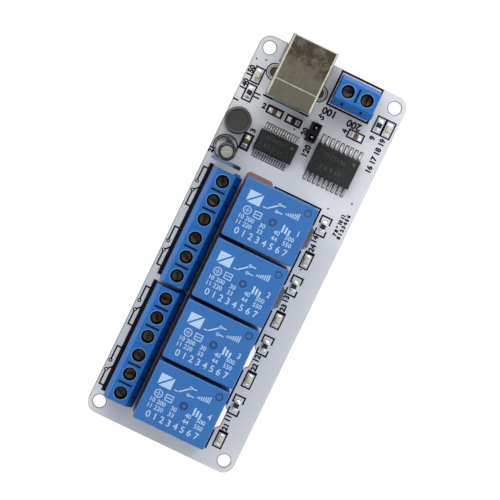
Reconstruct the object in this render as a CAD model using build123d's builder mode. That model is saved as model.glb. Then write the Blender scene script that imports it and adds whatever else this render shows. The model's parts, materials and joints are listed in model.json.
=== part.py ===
from build123d import *
import os
from math import atan2, cos, degrees, hypot, radians, sin

os.makedirs("parts", exist_ok=True)

# Four-channel relay board. All lengths are in millimetres and angles in degrees.
# The origin is the centre of the mounting holes on the board's underside.
# +X runs across the board, +Y towards the end with the square socket, +Z up.

# Circuit board
board_width = 40.0
board_length = 103.0
board_thickness = 1.6
board_corner_radius = 3.0
mount_inset_x = 2.9
mount_inset_y = 3.1
mount_hole_diameter = 3.2
pin_reach = 1.5
pin_hole_margin = 0.2
land_margin = 0.55
solder_height = 0.9

# Relays
relay_count = 4
relay_length = 19.0
relay_width = 15.4
relay_height = 15.3
relay_spacing = 1.0
relay_row_gap = 0.8
relay_edge_inset = 4.8
case_lift = 0.2
case_wall = 0.7
case_top = 0.8
case_corner_radius = 0.5
case_edge_radius = 0.35
case_mark_depth = 0.2
ejector_radius = 1.0
ejector_inset_x = 2.1
ejector_inset_y = 2.0
vent_radius = 1.05
vent_nib_radius = 0.4
vent_offset = 0.6
base_lift = 0.3
base_thickness = 1.2
base_fit = 0.05
base_foot_radius = 0.6
base_foot_inset = 1.3
common_pin_inset = 2.4
coil_pin_setback = 2.0
contact_pin_inset = 2.4
side_pin_offset = 6.0
relay_pin_thickness = 0.5
relay_pin_width = 1.0
coil_post_height = 1.6
blade_width = 1.6
blade_thickness = 0.4
yoke_thickness = 1.0
yoke_width = 7.0
yoke_inset = 1.2
core_offset = 6.8
core_radius = 2.2
core_fit = 0.1
pole_radius = 3.4
pole_thickness = 1.0
spool_wall = 0.7
spool_flange_radius = 5.5
spool_flange_thickness = 0.6
winding_height = 5.6
winding_radius = 5.2
winding_fit = 0.05
seat_clearance = 0.05
armature_thickness = 0.9
armature_width = 7.6
armature_length = 10.4
armature_air = 0.06
armature_travel = 2.5
spring_thickness = 0.25
spring_width = 2.6
spring_overlap = 6.0
spring_tip = 1.0
contact_radius = 0.9
contact_stand = 0.35
contact_air = 0.05
fixed_contact_height = 0.4

# Milled gaps in the board
slot_width = 1.0
slot_length = 8.1
slot_edge_inset = 1.4
slot_terminal_gap = 0.9
notch_inner = 1.2
notch_outer = 1.9
notch_half_width = 3.15
notch_chamfer = 1.05

# Screw terminals
pole_pitch = 5.08
terminal_front = 3.55
terminal_back = 4.15
terminal_height = 10.0
terminal_shoulder_front = 6.4
terminal_shoulder_back = 5.6
terminal_top_half = 2.45
row_poles = 3
row_blocks = 2
row_groups = 2
row_group_gap = 1.2
row_edge_inset_x = 3.05
row_edge_inset_y = 5.7
power_poles = 2
power_inset_y = 1.2
tongue_length = 0.55
tongue_width = 1.1
tongue_flare = 0.2
tongue_height = 6.0
tongue_setback = 2.8
tongue_fit = 0.1
well_radius = 1.8
well_floor = 6.0
shank_radius = 1.2
shank_fit = 0.15
head_radius = 1.65
head_height = 1.4
head_slot_width = 0.6
head_slot_depth = 0.7
chamber_width = 3.5
chamber_floor = 1.0
chamber_height = 4.5
chamber_front = 2.1
chamber_back = 3.1
wire_entry_width = 3.3
wire_entry_height = 3.7
probe_hole_radius = 0.35
probe_hole_depth = 1.2
divider_width = 0.35
divider_length = 3.6
divider_depth = 1.6
clamp_width = 3.2
clamp_length = 3.4
clamp_height = 3.9
clamp_window_width = 2.25
clamp_window_height = 2.1
clamp_bottom = 0.5
clamp_lift = 0.2
leaf_width = 2.1
leaf_thickness = 0.4
leaf_reach = 1.5
terminal_pin_setback = 2.6
terminal_pin_width = 1.0
terminal_pin_thickness = 0.6

# Square data socket
socket_width = 12.0
socket_height = 11.0
socket_length = 16.0
socket_inset_x = 6.65
socket_overhang = 2.4
shell_thickness = 0.3
shell_corner_radius = 0.6
shell_lift = 0.1
shell_seam_setback = 11.7
shell_seam_width = 0.3
shell_seam_depth = 0.1
insulator_fit = 0.05
insulator_recess = 0.4
mouth_width = 8.45
mouth_height = 7.78
mouth_chamfer = 1.7
mouth_depth = 9.0
mouth_rise = 1.7
tongue_blade_width = 5.6
tongue_blade_height = 3.2
tongue_blade_setback = 1.2
socket_contact_width = 1.0
socket_contact_thickness = 0.25
socket_contact_pitch = 2.5
socket_contact_setback = 1.5
socket_contact_fit = 0.05
socket_pin_inset = 1.6
socket_pin_row = 2.0
shield_tab_setback = 10.3
shield_tab_width = 2.0
shield_hole_radius = 1.2

# Gull-wing chips: body width along the row of leads, body depth, height
data_chip_width = 10.2
data_chip_depth = 5.3
data_chip_height = 1.85
data_chip_leads = 14
data_chip_pitch = 0.65
data_chip_lead_width = 0.3
data_chip_span = 7.8
driver_chip_width = 11.55
driver_chip_depth = 7.5
driver_chip_height = 2.5
driver_chip_leads = 9
driver_chip_pitch = 1.27
driver_chip_lead_width = 0.42
driver_chip_span = 10.3
chip_standoff = 0.15
chip_draft = 0.25
chip_mark_radius = 0.45
chip_mark_inset = 1.1
chip_mark_depth = 0.08
driver_chip_notch_radius = 0.8
lead_thickness = 0.2
lead_shoulder = 0.5
lead_foot_length = 0.65
lead_seat = 0.02

# Round choke
choke_inset_x = 3.5
choke_radius = 3.5
choke_height = 7.4
choke_lift = 0.3
choke_sleeve_wall = 0.3
choke_sleeve_lip = 0.75
choke_flange_thickness = 1.0
choke_neck_radius = 1.5
choke_winding_radius = 2.7
choke_pin_spacing = 3.0
sleeve_fit = 0.05
winding_margin = 0.05
lead_radius = 0.3

# Upright capacitor, which leans away from the choke
capacitor_inset_x = 3.3
capacitor_radius = 2.4
capacitor_height = 10.8
capacitor_lean_x = 1.1
capacitor_lean_y = -0.95
capacitor_lift = 0.5
capacitor_sleeve_wall = 0.12
capacitor_sleeve_lip = 0.75
capacitor_edge_radius = 0.35
capacitor_groove_depth = 0.25
capacitor_groove_width = 0.5
capacitor_can_wall = 0.25
bung_height = 1.3
bung_fit = 0.03
capacitor_pin_spacing = 2.0

# Jumper posts
post_setback_x = 2.325
post_setback_y = 0.45
post_count = 2
post_pitch = 2.54
post_side = 0.64
post_length = 8.0
post_tip = 0.15
post_base_width = 2.5
post_base_height = 2.5
jumper_width = 2.4
jumper_length = 4.95
jumper_height = 6.0
jumper_gap = 0.3
jumper_corner_radius = 0.3
jumper_bore = 1.5
clip_thickness = 0.2
clip_height = 3.6
clip_inset = 0.8

# Small surface parts
chip_part_length = 2.0
chip_part_width = 1.25
resistor_thickness = 0.5
small_capacitor_thickness = 0.9
end_cap_length = 0.4
led_base_thickness = 0.4
led_lens_height = 0.5
led_lens_length = 1.3
led_lens_taper = 12.0
chip_seat = 0.03
end_cap_proud = 0.03
relay_light_gap = 3.35
relay_resistor_rise = 4.2
relay_light_drop = 5.1
power_resistor_inset = 4.5
power_light_inset = 2.0
power_light_drop = 8.6
data_light_inset = 3.15
row_capacitor_shift = 3.95
row_resistor_shift = 1.2
side_capacitor_inset = 7.7
side_capacitor_drop = 2.05
driver_capacitor_shift = 1.8
direction_x = 0.0
direction_y = 90.0

# Gaps between neighbours on the board. They are true at the board's size above, and a board
# of another size stretches or closes them alike.
terminals_to_capacitor = 1.54
capacitor_to_choke = 1.2
choke_to_data_resistor = 2.9
data_resistor_to_light = 2.7
data_light_to_hole = 4.8
relay_to_data_chip = 5.35
data_chip_to_row_parts = 3.025
row_parts_to_socket = 2.575
relay_to_driver_chip = 6.0
driver_chip_to_capacitor = 3.175
driver_capacitor_to_power = 3.975
side_capacitor_to_data_chip = 1.375
data_chip_to_driver_chip = 3.925
driver_chip_to_edge = 4.625
socket_to_power = 3.39
power_to_resistor = 2.675

# Values that follow from the ones above
board_top = board_thickness
board_left = -board_width / 2
board_right = board_width / 2
board_far = board_length / 2
board_near = -board_length / 2
pin_bottom = -pin_reach
mount_spacing_x = board_width - 2 * mount_inset_x
mount_spacing_y = board_length - 2 * mount_inset_y
terminal_row_x = board_left + row_edge_inset_x + terminal_front
relay_x = terminal_row_x + terminal_back + relay_row_gap + relay_length / 2
relay_pitch = relay_width + relay_spacing
relay_first_y = board_near + relay_edge_inset + relay_width / 2 + (relay_count - 1) * relay_pitch
relay_rows = [relay_first_y - number * relay_pitch for number in range(relay_count)]
block_length = row_poles * pole_pitch
group_length = row_blocks * block_length + row_group_gap
common_pin_x = relay_length / 2 - common_pin_inset
coil_pin_x = common_pin_x - coil_pin_setback
contact_x = contact_pin_inset - relay_length / 2
cavity_length = relay_length - 2 * case_wall
cavity_width = relay_width - 2 * case_wall
base_top = base_lift + base_thickness
yoke_face_x = relay_length / 2 - yoke_inset
core_x = yoke_face_x - core_offset
spool_bottom = base_top + yoke_thickness + seat_clearance
winding_bottom = spool_bottom + spool_flange_thickness
spool_top = winding_bottom + winding_height + spool_flange_thickness
pole_top = spool_top + seat_clearance + pole_thickness
pivot_z = pole_top + armature_air
tilt_cos = cos(radians(armature_travel))
tilt_sin = sin(radians(armature_travel))
contact_reach = yoke_face_x - contact_x
closed_contact_z = pivot_z + armature_thickness - contact_stand - contact_air
moving_stack = armature_thickness + spring_thickness + contact_stand
moving_top = pivot_z + (contact_reach + contact_radius) * tilt_sin + moving_stack * tilt_cos
open_contact_z = moving_top + contact_air


def pole_shifts(poles):
    # Places of a terminal's poles along its row, from the row's middle.
    return [(pole - (poles - 1) / 2) * pole_pitch for pole in range(poles)]


def shared_places(start, end, pieces, gaps):
    # Middles of pieces in line between two edges, with the gaps stretched alike to fill the line.
    stretch = (end - start - sum(pieces)) / sum(gaps)
    middles = []
    edge = start
    for piece, gap in zip(pieces, gaps):
        edge += gap * stretch
        middles.append(edge + piece / 2)
        edge += piece
    return middles


# Places of the socket and the power terminal across the board
socket_x = board_left + socket_inset_x + socket_width / 2
socket_front_y = board_far + socket_overhang
socket_rear_y = socket_front_y - socket_length
power_y = board_far - power_inset_y - terminal_front
power_resistor_x = board_right - power_resistor_inset
(power_x,) = shared_places(
    socket_x + socket_width / 2,
    power_resistor_x - chip_part_width / 2,
    [power_poles * pole_pitch],
    [socket_to_power, power_to_resistor],
)

# Every screw terminal: its number of poles, and its plane on the board with X along the row
# of poles and Y towards the wire side
terminal_blocks = {}
terminal_blocks["power_terminal_housing"] = (power_poles, Plane((power_x, power_y, board_top)))
row_block_centres = []
for group in range(row_groups):
    for block in range(row_blocks):
        steps = (row_groups - 1 - group) * group_length + (row_blocks - 1 - block + 0.5) * block_length
        row_block_centres.append(board_near + row_edge_inset_y + steps)
for number, centre_y in enumerate(row_block_centres, 1):
    row_seat = Plane(origin=(terminal_row_x, centre_y, board_top), x_dir=(0, 1, 0), z_dir=(0, 0, 1))
    terminal_blocks[f"relay_terminal_housing_{number}"] = (row_poles, row_seat)

# Places of the parts between the relays and the socket: three columns and the row of chips
row_end_y = row_block_centres[0] + block_length / 2 + tongue_length
relay_end_y = relay_rows[0] + relay_width / 2
lean_drop = -capacitor_lean_y
capacitor_middle_y, choke_y, data_resistor_y, data_light_y = shared_places(
    row_end_y,
    board_far - mount_inset_y - mount_hole_diameter / 2,
    [2 * capacitor_radius + lean_drop, 2 * choke_radius, chip_part_length, chip_part_length],
    [
        terminals_to_capacitor,
        capacitor_to_choke,
        choke_to_data_resistor,
        data_resistor_to_light,
        data_light_to_hole,
    ],
)
capacitor_y = capacitor_middle_y + lean_drop / 2
data_chip_y, row_part_y = shared_places(
    relay_end_y,
    socket_rear_y,
    [data_chip_span, chip_part_width],
    [relay_to_data_chip, data_chip_to_row_parts, row_parts_to_socket],
)
driver_chip_y, driver_capacitor_y = shared_places(
    relay_end_y,
    power_y - terminal_back,
    [driver_chip_span, chip_part_width],
    [relay_to_driver_chip, driver_chip_to_capacitor, driver_capacitor_to_power],
)
choke_x = board_left + choke_inset_x
capacitor_x = board_left + capacitor_inset_x
side_capacitor_x = board_left + side_capacitor_inset
data_chip_x, driver_chip_x = shared_places(
    side_capacitor_x + chip_part_width / 2,
    board_right,
    [data_chip_width, driver_chip_width],
    [side_capacitor_to_data_chip, data_chip_to_driver_chip, driver_chip_to_edge],
)
post_x = driver_chip_x - driver_chip_width / 2 - post_setback_x
post_y = row_part_y - post_setback_y

# Every flat pin that passes through the board: its section, and the places of all pins like it
relay_pin_spots = [
    (common_pin_x, 0),
    (coil_pin_x, side_pin_offset),
    (coil_pin_x, -side_pin_offset),
    (contact_x, side_pin_offset),
    (contact_x, -side_pin_offset),
]
square_pins = {}
square_pins[(relay_pin_thickness, relay_pin_width)] = [
    (relay_x + pin_x, row_y + pin_y) for row_y in relay_rows for pin_x, pin_y in relay_pin_spots
]
for poles, seat in terminal_blocks.values():
    section = (terminal_pin_thickness, terminal_pin_width)
    if abs(seat.x_dir.X) > abs(seat.x_dir.Y):
        section = (terminal_pin_width, terminal_pin_thickness)
    spots = square_pins.setdefault(section, [])
    for shift in pole_shifts(poles):
        pin = seat.from_local_coords(Vector(shift, -terminal_pin_setback, 0))
        spots.append((pin.X, pin.Y))
contact_rows = [socket_rear_y + socket_pin_inset, socket_rear_y + socket_pin_inset + socket_pin_row]
socket_contact_columns = [socket_x + side * socket_contact_pitch / 2 for side in (-1, 1)]
square_pins[(socket_contact_width, socket_contact_thickness)] = [
    (pin_x, row_y) for pin_x in socket_contact_columns for row_y in contact_rows
]
post_rows = [post_y + (number - (post_count - 1) / 2) * post_pitch for number in range(post_count)]
square_pins[(post_side, post_side)] = [(post_x, row_y) for row_y in post_rows]
round_pins = []
for side in (-1, 1):
    round_pins.append((choke_x + side * choke_pin_spacing / 2, choke_y))
    round_pins.append((capacitor_x, capacitor_y + side * capacitor_pin_spacing / 2))
shield_tab_y = socket_front_y - shield_tab_setback
shield_tabs = [socket_x + side * (socket_width - shell_thickness) / 2 for side in (-1, 1)]


# Circuit board with its holes and milled gaps
slot_x = board_left + slot_edge_inset + slot_length / 2
slot_y = row_end_y + slot_terminal_gap + slot_width / 2
notch_edge = relay_x + relay_length / 2
with BuildPart() as circuit_board:
    with BuildSketch():
        RectangleRounded(board_width, board_length, board_corner_radius)
        with GridLocations(mount_spacing_x, mount_spacing_y, 2, 2):
            Circle(mount_hole_diameter / 2, mode=Mode.SUBTRACT)
        with Locations((slot_x, slot_y)):
            SlotOverall(slot_length, slot_width, mode=Mode.SUBTRACT)
        for row_y in relay_rows:
            with BuildLine():
                Polyline(
                    (notch_edge - notch_inner, row_y - notch_half_width),
                    (notch_edge + notch_outer - notch_chamfer, row_y - notch_half_width),
                    (notch_edge + notch_outer, row_y - notch_half_width + notch_chamfer),
                    (notch_edge + notch_outer, row_y + notch_half_width - notch_chamfer),
                    (notch_edge + notch_outer - notch_chamfer, row_y + notch_half_width),
                    (notch_edge - notch_inner, row_y + notch_half_width),
                    close=True,
                )
            make_face(mode=Mode.SUBTRACT)
        for (size_x, size_y), spots in square_pins.items():
            with Locations(*spots):
                Circle(hypot(size_x, size_y) / 2 + pin_hole_margin, mode=Mode.SUBTRACT)
        with Locations(*round_pins):
            Circle(lead_radius + pin_hole_margin, mode=Mode.SUBTRACT)
        with Locations(*[(tab_x, shield_tab_y) for tab_x in shield_tabs]):
            Circle(shield_hole_radius, mode=Mode.SUBTRACT)
    extrude(amount=board_thickness)
circuit_board.part.label = "circuit_board"
export_step(circuit_board.part, "parts/circuit_board.step")

# Solder cones under the board, one round each pin
from_below = (Align.CENTER, Align.CENTER, Align.MIN)
with BuildPart() as solder_joints:
    for (size_x, size_y), spots in square_pins.items():
        reach = hypot(size_x, size_y) / 2
        with Locations(*[(pin_x, pin_y, -solder_height) for pin_x, pin_y in spots]):
            Cone(reach + pin_hole_margin / 2, reach + land_margin, solder_height, align=from_below)
            Box(size_x, size_y, solder_height, align=from_below, mode=Mode.SUBTRACT)
    with Locations(*[(pin_x, pin_y, -solder_height) for pin_x, pin_y in round_pins]):
        Cone(lead_radius + pin_hole_margin / 2, lead_radius + land_margin, solder_height, align=from_below)
        Cylinder(lead_radius + lead_seat, solder_height, align=from_below, mode=Mode.SUBTRACT)
solder_joints.part.label = "solder_joints"
export_step(solder_joints.part, "parts/solder_joints.step")

# Relays: a case over a base with its spool, a winding, a yoke with its core, a hinged
# armature and the contact spring on it
for number, row_y in enumerate(relay_rows, 1):
    seat = Plane(origin=(relay_x, row_y, board_top))
    hinge = Plane(
        origin=(relay_x + yoke_face_x, row_y, board_top + pivot_z),
        x_dir=(-tilt_cos, 0, tilt_sin),
        z_dir=(tilt_sin, 0, tilt_cos),
    )
    with BuildPart() as relay_case:
        with BuildSketch(seat.offset(case_lift)):
            RectangleRounded(relay_length, relay_width, case_corner_radius)
        extrude(amount=relay_height - case_lift)
        fillet(relay_case.faces().sort_by(Axis.Z)[-1].edges(), case_edge_radius)
        with BuildSketch(seat.offset(case_lift)):
            Rectangle(cavity_length, cavity_width)
        extrude(amount=relay_height - case_lift - case_top, mode=Mode.SUBTRACT)
        with BuildSketch(seat.offset(relay_height)):
            with Locations((relay_length / 2 - ejector_inset_x, relay_width / 2 - ejector_inset_y)):
                Circle(ejector_radius)
            with Locations((vent_offset, 0)):
                Circle(vent_radius)
                Circle(vent_nib_radius, mode=Mode.SUBTRACT)
        extrude(amount=-case_mark_depth, mode=Mode.SUBTRACT)
    relay_case.part.label = f"relay_case_{number}"
    export_step(relay_case.part, f"parts/relay_case_{number}.step")

    with BuildPart() as relay_base:
        with BuildSketch(seat.offset(base_lift)):
            Rectangle(cavity_length - 2 * base_fit, cavity_width - 2 * base_fit)
        extrude(amount=base_thickness)
        with BuildSketch(seat):
            with GridLocations(
                cavity_length - 2 * base_foot_inset,
                cavity_width - 2 * base_foot_inset,
                2,
                2,
            ):
                Circle(base_foot_radius)
        extrude(amount=base_lift)
        pedestal_length = spool_flange_radius - pole_radius
        with BuildSketch(seat.offset(base_top)):
            with Locations((core_x - spool_flange_radius + pedestal_length / 2, 0)):
                Rectangle(pedestal_length, yoke_width)
        extrude(amount=yoke_thickness + seat_clearance + spool_flange_thickness / 2)
        with BuildSketch(seat.offset(spool_bottom), seat.offset(spool_top - spool_flange_thickness)):
            with Locations((core_x, 0)):
                Circle(spool_flange_radius)
        extrude(amount=spool_flange_thickness)
        with BuildSketch(seat.offset(spool_bottom)):
            with Locations((core_x, 0)):
                Circle(core_radius + core_fit + spool_wall)
        extrude(amount=spool_top - spool_bottom)
        with BuildSketch(seat.offset(spool_bottom)):
            with Locations((core_x, 0)):
                Circle(core_radius + core_fit)
        extrude(amount=spool_top - spool_bottom, mode=Mode.SUBTRACT)
        with BuildSketch(seat):
            with Locations(*relay_pin_spots):
                Rectangle(relay_pin_thickness + 2 * base_fit, relay_pin_width + 2 * base_fit)
        extrude(amount=base_top, mode=Mode.SUBTRACT)
    relay_base.part.label = f"relay_base_{number}"
    export_step(relay_base.part, f"parts/relay_base_{number}.step")

    with BuildPart() as relay_winding:
        with BuildSketch(seat.offset(winding_bottom)):
            with Locations((core_x, 0)):
                Circle(winding_radius)
                Circle(core_radius + core_fit + spool_wall + winding_fit, mode=Mode.SUBTRACT)
        extrude(amount=winding_height)
    relay_winding.part.label = f"relay_winding_{number}"
    export_step(relay_winding.part, f"parts/relay_winding_{number}.step")

    foot_start = core_x - pole_radius + seat_clearance
    with BuildPart() as relay_yoke:
        with BuildSketch(seat.offset(base_top)):
            with Locations(((foot_start + yoke_face_x) / 2, 0)):
                Rectangle(yoke_face_x - foot_start, yoke_width)
        extrude(amount=yoke_thickness)
        with BuildSketch(seat.offset(base_top)):
            with Locations((yoke_face_x - yoke_thickness / 2, 0)):
                Rectangle(yoke_thickness, yoke_width)
        extrude(amount=pole_top - base_top)
        with BuildSketch(seat.offset(base_top)):
            with Locations((core_x, 0)):
                Circle(core_radius)
        extrude(amount=pole_top - base_top)
        with BuildSketch(seat.offset(pole_top - pole_thickness)):
            with Locations((core_x, 0)):
                Circle(pole_radius)
        extrude(amount=pole_thickness)
    relay_yoke.part.label = f"relay_yoke_{number}"
    export_step(relay_yoke.part, f"parts/relay_yoke_{number}.step")

    with BuildPart() as relay_armature:
        with BuildSketch(hinge):
            with Locations((armature_length / 2, 0)):
                Rectangle(armature_length, armature_width)
        extrude(amount=armature_thickness)
    relay_armature.part.label = f"relay_armature_{number}"
    export_step(relay_armature.part, f"parts/relay_armature_{number}.step")

    spring_start = armature_length - spring_overlap
    spring_end = contact_reach + spring_tip
    with BuildPart() as relay_spring:
        with BuildSketch(hinge.offset(armature_thickness)):
            with Locations(((spring_start + spring_end) / 2, 0)):
                Rectangle(spring_end - spring_start, spring_width)
        extrude(amount=spring_thickness)
        with BuildSketch(hinge.offset(armature_thickness - contact_stand)):
            with Locations((contact_reach, 0)):
                Circle(contact_radius)
        extrude(amount=spring_thickness + 2 * contact_stand)
    relay_spring.part.label = f"relay_spring_{number}"
    export_step(relay_spring.part, f"parts/relay_spring_{number}.step")

# Relay terminals: five pins a relay, the two contact pins with a blade that ends in a contact
relay_seats = [Plane((relay_x, row_y, board_top)) for row_y in relay_rows]
pin_drop = board_top - pin_bottom
blade_reach = side_pin_offset + relay_pin_width / 2 + contact_radius
upper_arm_z = open_contact_z + fixed_contact_height
lower_arm_z = closed_contact_z - fixed_contact_height - blade_thickness
with BuildPart() as relay_terminals:
    for spots, top_z in (
        ([(common_pin_x, 0)], base_top),
        ([(coil_pin_x, side_pin_offset), (coil_pin_x, -side_pin_offset)], base_top + coil_post_height),
        ([(contact_x, side_pin_offset)], upper_arm_z),
        ([(contact_x, -side_pin_offset)], lower_arm_z),
    ):
        with BuildSketch(*[seat.offset(-pin_drop) for seat in relay_seats]):
            with Locations(*spots):
                Rectangle(relay_pin_thickness, relay_pin_width)
        extrude(amount=pin_drop + top_z)
    for side, arm_z, button_z in (
        (1, upper_arm_z, open_contact_z),
        (-1, lower_arm_z, closed_contact_z - fixed_contact_height),
    ):
        with BuildSketch(*[seat.offset(arm_z) for seat in relay_seats]):
            with Locations((contact_x, side * (side_pin_offset + relay_pin_width / 2 - blade_reach / 2))):
                Rectangle(blade_width, blade_reach)
        extrude(amount=blade_thickness)
        with BuildSketch(*[seat.offset(button_z) for seat in relay_seats]):
            with Locations((contact_x, 0)):
                Circle(contact_radius)
        extrude(amount=fixed_contact_height)
relay_terminals.part.label = "relay_terminals"
export_step(relay_terminals.part, "parts/relay_terminals.step")

# Screw terminal housings: a sloped block with a well, a clamp chamber and a wire entry a pole
for name, (poles, seat) in terminal_blocks.items():
    end = Plane(origin=seat.origin, x_dir=seat.y_dir, z_dir=seat.x_dir)
    length = poles * pole_pitch
    pole_spots = [(shift, 0) for shift in pole_shifts(poles)]
    tongue_front = -tongue_setback + tongue_width / 2
    tongue_rear = -tongue_setback - tongue_width / 2
    groove_depth = tongue_length + tongue_fit
    with BuildPart() as housing:
        with BuildSketch(end.offset(-length / 2)):
            with BuildLine():
                Polyline(
                    (terminal_front, 0),
                    (terminal_front, terminal_shoulder_front),
                    (terminal_top_half, terminal_height),
                    (-terminal_top_half, terminal_height),
                    (-terminal_back, terminal_shoulder_back),
                    (-terminal_back, 0),
                    close=True,
                )
            make_face()
        extrude(amount=length)
        with BuildSketch(seat):
            with BuildLine():
                Polyline(
                    (length / 2, tongue_rear),
                    (length / 2 + tongue_length, tongue_rear - tongue_flare),
                    (length / 2 + tongue_length, tongue_front + tongue_flare),
                    (length / 2, tongue_front),
                    close=True,
                )
            make_face()
        extrude(amount=tongue_height - tongue_fit)
        with BuildSketch(seat):
            with BuildLine():
                Polyline(
                    (-length / 2, tongue_rear - tongue_fit),
                    (-length / 2 + groove_depth, tongue_rear - tongue_flare - tongue_fit),
                    (-length / 2 + groove_depth, tongue_front + tongue_flare + tongue_fit),
                    (-length / 2, tongue_front + tongue_fit),
                    close=True,
                )
            make_face()
        extrude(amount=tongue_height, mode=Mode.SUBTRACT)
        with BuildSketch(seat.offset(terminal_height)):
            with Locations(*pole_spots):
                Circle(well_radius)
        extrude(amount=well_floor - terminal_height, mode=Mode.SUBTRACT)
        with BuildSketch(seat.offset(well_floor)):
            with Locations(*pole_spots):
                Circle(shank_radius + shank_fit)
        extrude(amount=chamber_floor - well_floor, mode=Mode.SUBTRACT)
        with BuildSketch(seat.offset(chamber_floor)):
            with Locations(*[(spot, (chamber_front - chamber_back) / 2) for spot, _ in pole_spots]):
                Rectangle(chamber_width, chamber_front + chamber_back)
        extrude(amount=chamber_height, mode=Mode.SUBTRACT)
        with BuildSketch(seat.offset(chamber_floor)):
            with Locations(*[(spot, (terminal_front + chamber_front) / 2) for spot, _ in pole_spots]):
                Rectangle(wire_entry_width, terminal_front - chamber_front)
        extrude(amount=wire_entry_height, mode=Mode.SUBTRACT)
        with BuildSketch(seat):
            with Locations(*[(spot, -terminal_pin_setback) for spot, _ in pole_spots]):
                Rectangle(terminal_pin_width + 2 * base_fit, terminal_pin_thickness + 2 * base_fit)
        extrude(amount=chamber_floor, mode=Mode.SUBTRACT)
        probe_v = -(terminal_top_half + terminal_back) / 2
        with BuildSketch(seat.offset(terminal_height)):
            with Locations(*[(spot, probe_v) for spot, _ in pole_spots]):
                Circle(probe_hole_radius)
        probe_drop = (terminal_height - terminal_shoulder_back) / 2 + probe_hole_depth
        extrude(amount=-probe_drop, mode=Mode.SUBTRACT)
        with BuildSketch(seat.offset(terminal_height)):
            with Locations(*[((gap - poles / 2 + 1) * pole_pitch, 0) for gap in range(poles - 1)]):
                Rectangle(divider_width, divider_length)
        extrude(amount=-divider_depth, mode=Mode.SUBTRACT)
    housing.part.label = name
    export_step(housing.part, f"parts/{name}.step")

# Screws, clamps and pins of the screw terminals, one of each a pole
leaf_top = chamber_floor + clamp_lift + clamp_bottom + clamp_window_height
with BuildPart() as terminal_screws:
    for poles, seat in terminal_blocks.values():
        pole_spots = [(shift, 0) for shift in pole_shifts(poles)]
        with BuildSketch(seat.offset(well_floor)):
            with Locations(*pole_spots):
                Circle(head_radius)
        extrude(amount=head_height)
        with BuildSketch(seat.offset(leaf_top)):
            with Locations(*pole_spots):
                Circle(shank_radius)
        extrude(amount=well_floor - leaf_top)
        with BuildSketch(seat.offset(well_floor + head_height)):
            with Locations(*pole_spots):
                Rectangle(2 * head_radius, head_slot_width)
        extrude(amount=-head_slot_depth, mode=Mode.SUBTRACT)
terminal_screws.part.label = "terminal_screws"
export_step(terminal_screws.part, "parts/terminal_screws.step")

with BuildPart() as terminal_clamps:
    for poles, seat in terminal_blocks.values():
        pole_spots = [(shift, 0) for shift in pole_shifts(poles)]
        with BuildSketch(seat.offset(chamber_floor + clamp_lift)):
            with Locations(*pole_spots):
                Rectangle(clamp_width, clamp_length)
        extrude(amount=clamp_height)
        with BuildSketch(seat.offset(chamber_floor + clamp_lift + clamp_bottom)):
            with Locations(*pole_spots):
                Rectangle(clamp_window_width, clamp_length)
        extrude(amount=clamp_window_height, mode=Mode.SUBTRACT)
        with BuildSketch(seat.offset(leaf_top)):
            with Locations(*pole_spots):
                Circle(shank_radius + seat_clearance)
        extrude(amount=clamp_height, mode=Mode.SUBTRACT)
terminal_clamps.part.label = "terminal_clamps"
export_step(terminal_clamps.part, "parts/terminal_clamps.step")

with BuildPart() as terminal_pins:
    for poles, seat in terminal_blocks.values():
        leaf_back = terminal_pin_setback + terminal_pin_thickness / 2
        with BuildSketch(seat.offset(leaf_top - leaf_thickness)):
            with Locations(*[(shift, (leaf_reach - leaf_back) / 2) for shift in pole_shifts(poles)]):
                Rectangle(leaf_width, leaf_reach + leaf_back)
        extrude(amount=leaf_thickness)
        with BuildSketch(seat.offset(-board_thickness - pin_reach)):
            with Locations(*[(shift, -terminal_pin_setback) for shift in pole_shifts(poles)]):
                Rectangle(terminal_pin_width, terminal_pin_thickness)
        extrude(amount=board_thickness + pin_reach + leaf_top - leaf_thickness)
terminal_pins.part.label = "terminal_pins"
export_step(terminal_pins.part, "parts/terminal_pins.step")

# Square data socket: folded shell, insulator with its tongue and four contacts
mouth = Plane(origin=(socket_x, socket_front_y, board_top), x_dir=(1, 0, 0), z_dir=(0, -1, 0))
with BuildPart() as socket_shell:
    with BuildSketch(mouth):
        with Locations((0, (socket_height + shell_lift) / 2)):
            Rectangle(socket_width, socket_height - shell_lift)
    extrude(amount=socket_length)
    fillet(socket_shell.edges().filter_by(Axis.Y).group_by(Axis.Z)[-1], shell_corner_radius)
    with BuildSketch(mouth):
        with Locations((0, (socket_height - shell_thickness) / 2)):
            Rectangle(socket_width - 2 * shell_thickness, socket_height - shell_thickness)
    extrude(amount=socket_length - shell_thickness, mode=Mode.SUBTRACT)
    with BuildSketch(Plane((socket_x, socket_front_y - shell_seam_setback, board_top + socket_height))):
        Rectangle(socket_width, shell_seam_width)
    extrude(amount=-shell_seam_depth, mode=Mode.SUBTRACT)
    with BuildSketch(Plane.XY.offset(pin_bottom)):
        with Locations(*[(tab_x, shield_tab_y) for tab_x in shield_tabs]):
            Rectangle(shell_thickness, shield_tab_width)
    extrude(amount=board_top + 2 * shell_lift - pin_bottom)
socket_shell.part.label = "socket_shell"
export_step(socket_shell.part, "parts/socket_shell.step")

mouth_middle = mouth_rise + mouth_height / 2
upper_level = mouth_middle + tongue_blade_height / 2 - socket_contact_thickness / 2
lower_level = mouth_middle - tongue_blade_height / 2 + socket_contact_thickness / 2
contact_front_y = socket_front_y - insulator_recess - tongue_blade_setback - socket_contact_setback


def socket_contact_profile(level, row_y, grow, foot_z):
    # A level leg along the tongue and an upright leg through the board, as two rectangles.
    rear_y = row_y - socket_contact_thickness / 2
    with Locations(((contact_front_y + rear_y) / 2, level)):
        Rectangle(contact_front_y - rear_y + 2 * grow, socket_contact_thickness + 2 * grow)
    top_z = level + socket_contact_thickness / 2
    with Locations((row_y, (foot_z + top_z) / 2)):
        Rectangle(socket_contact_thickness + 2 * grow, top_z - foot_z + 2 * grow)


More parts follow.
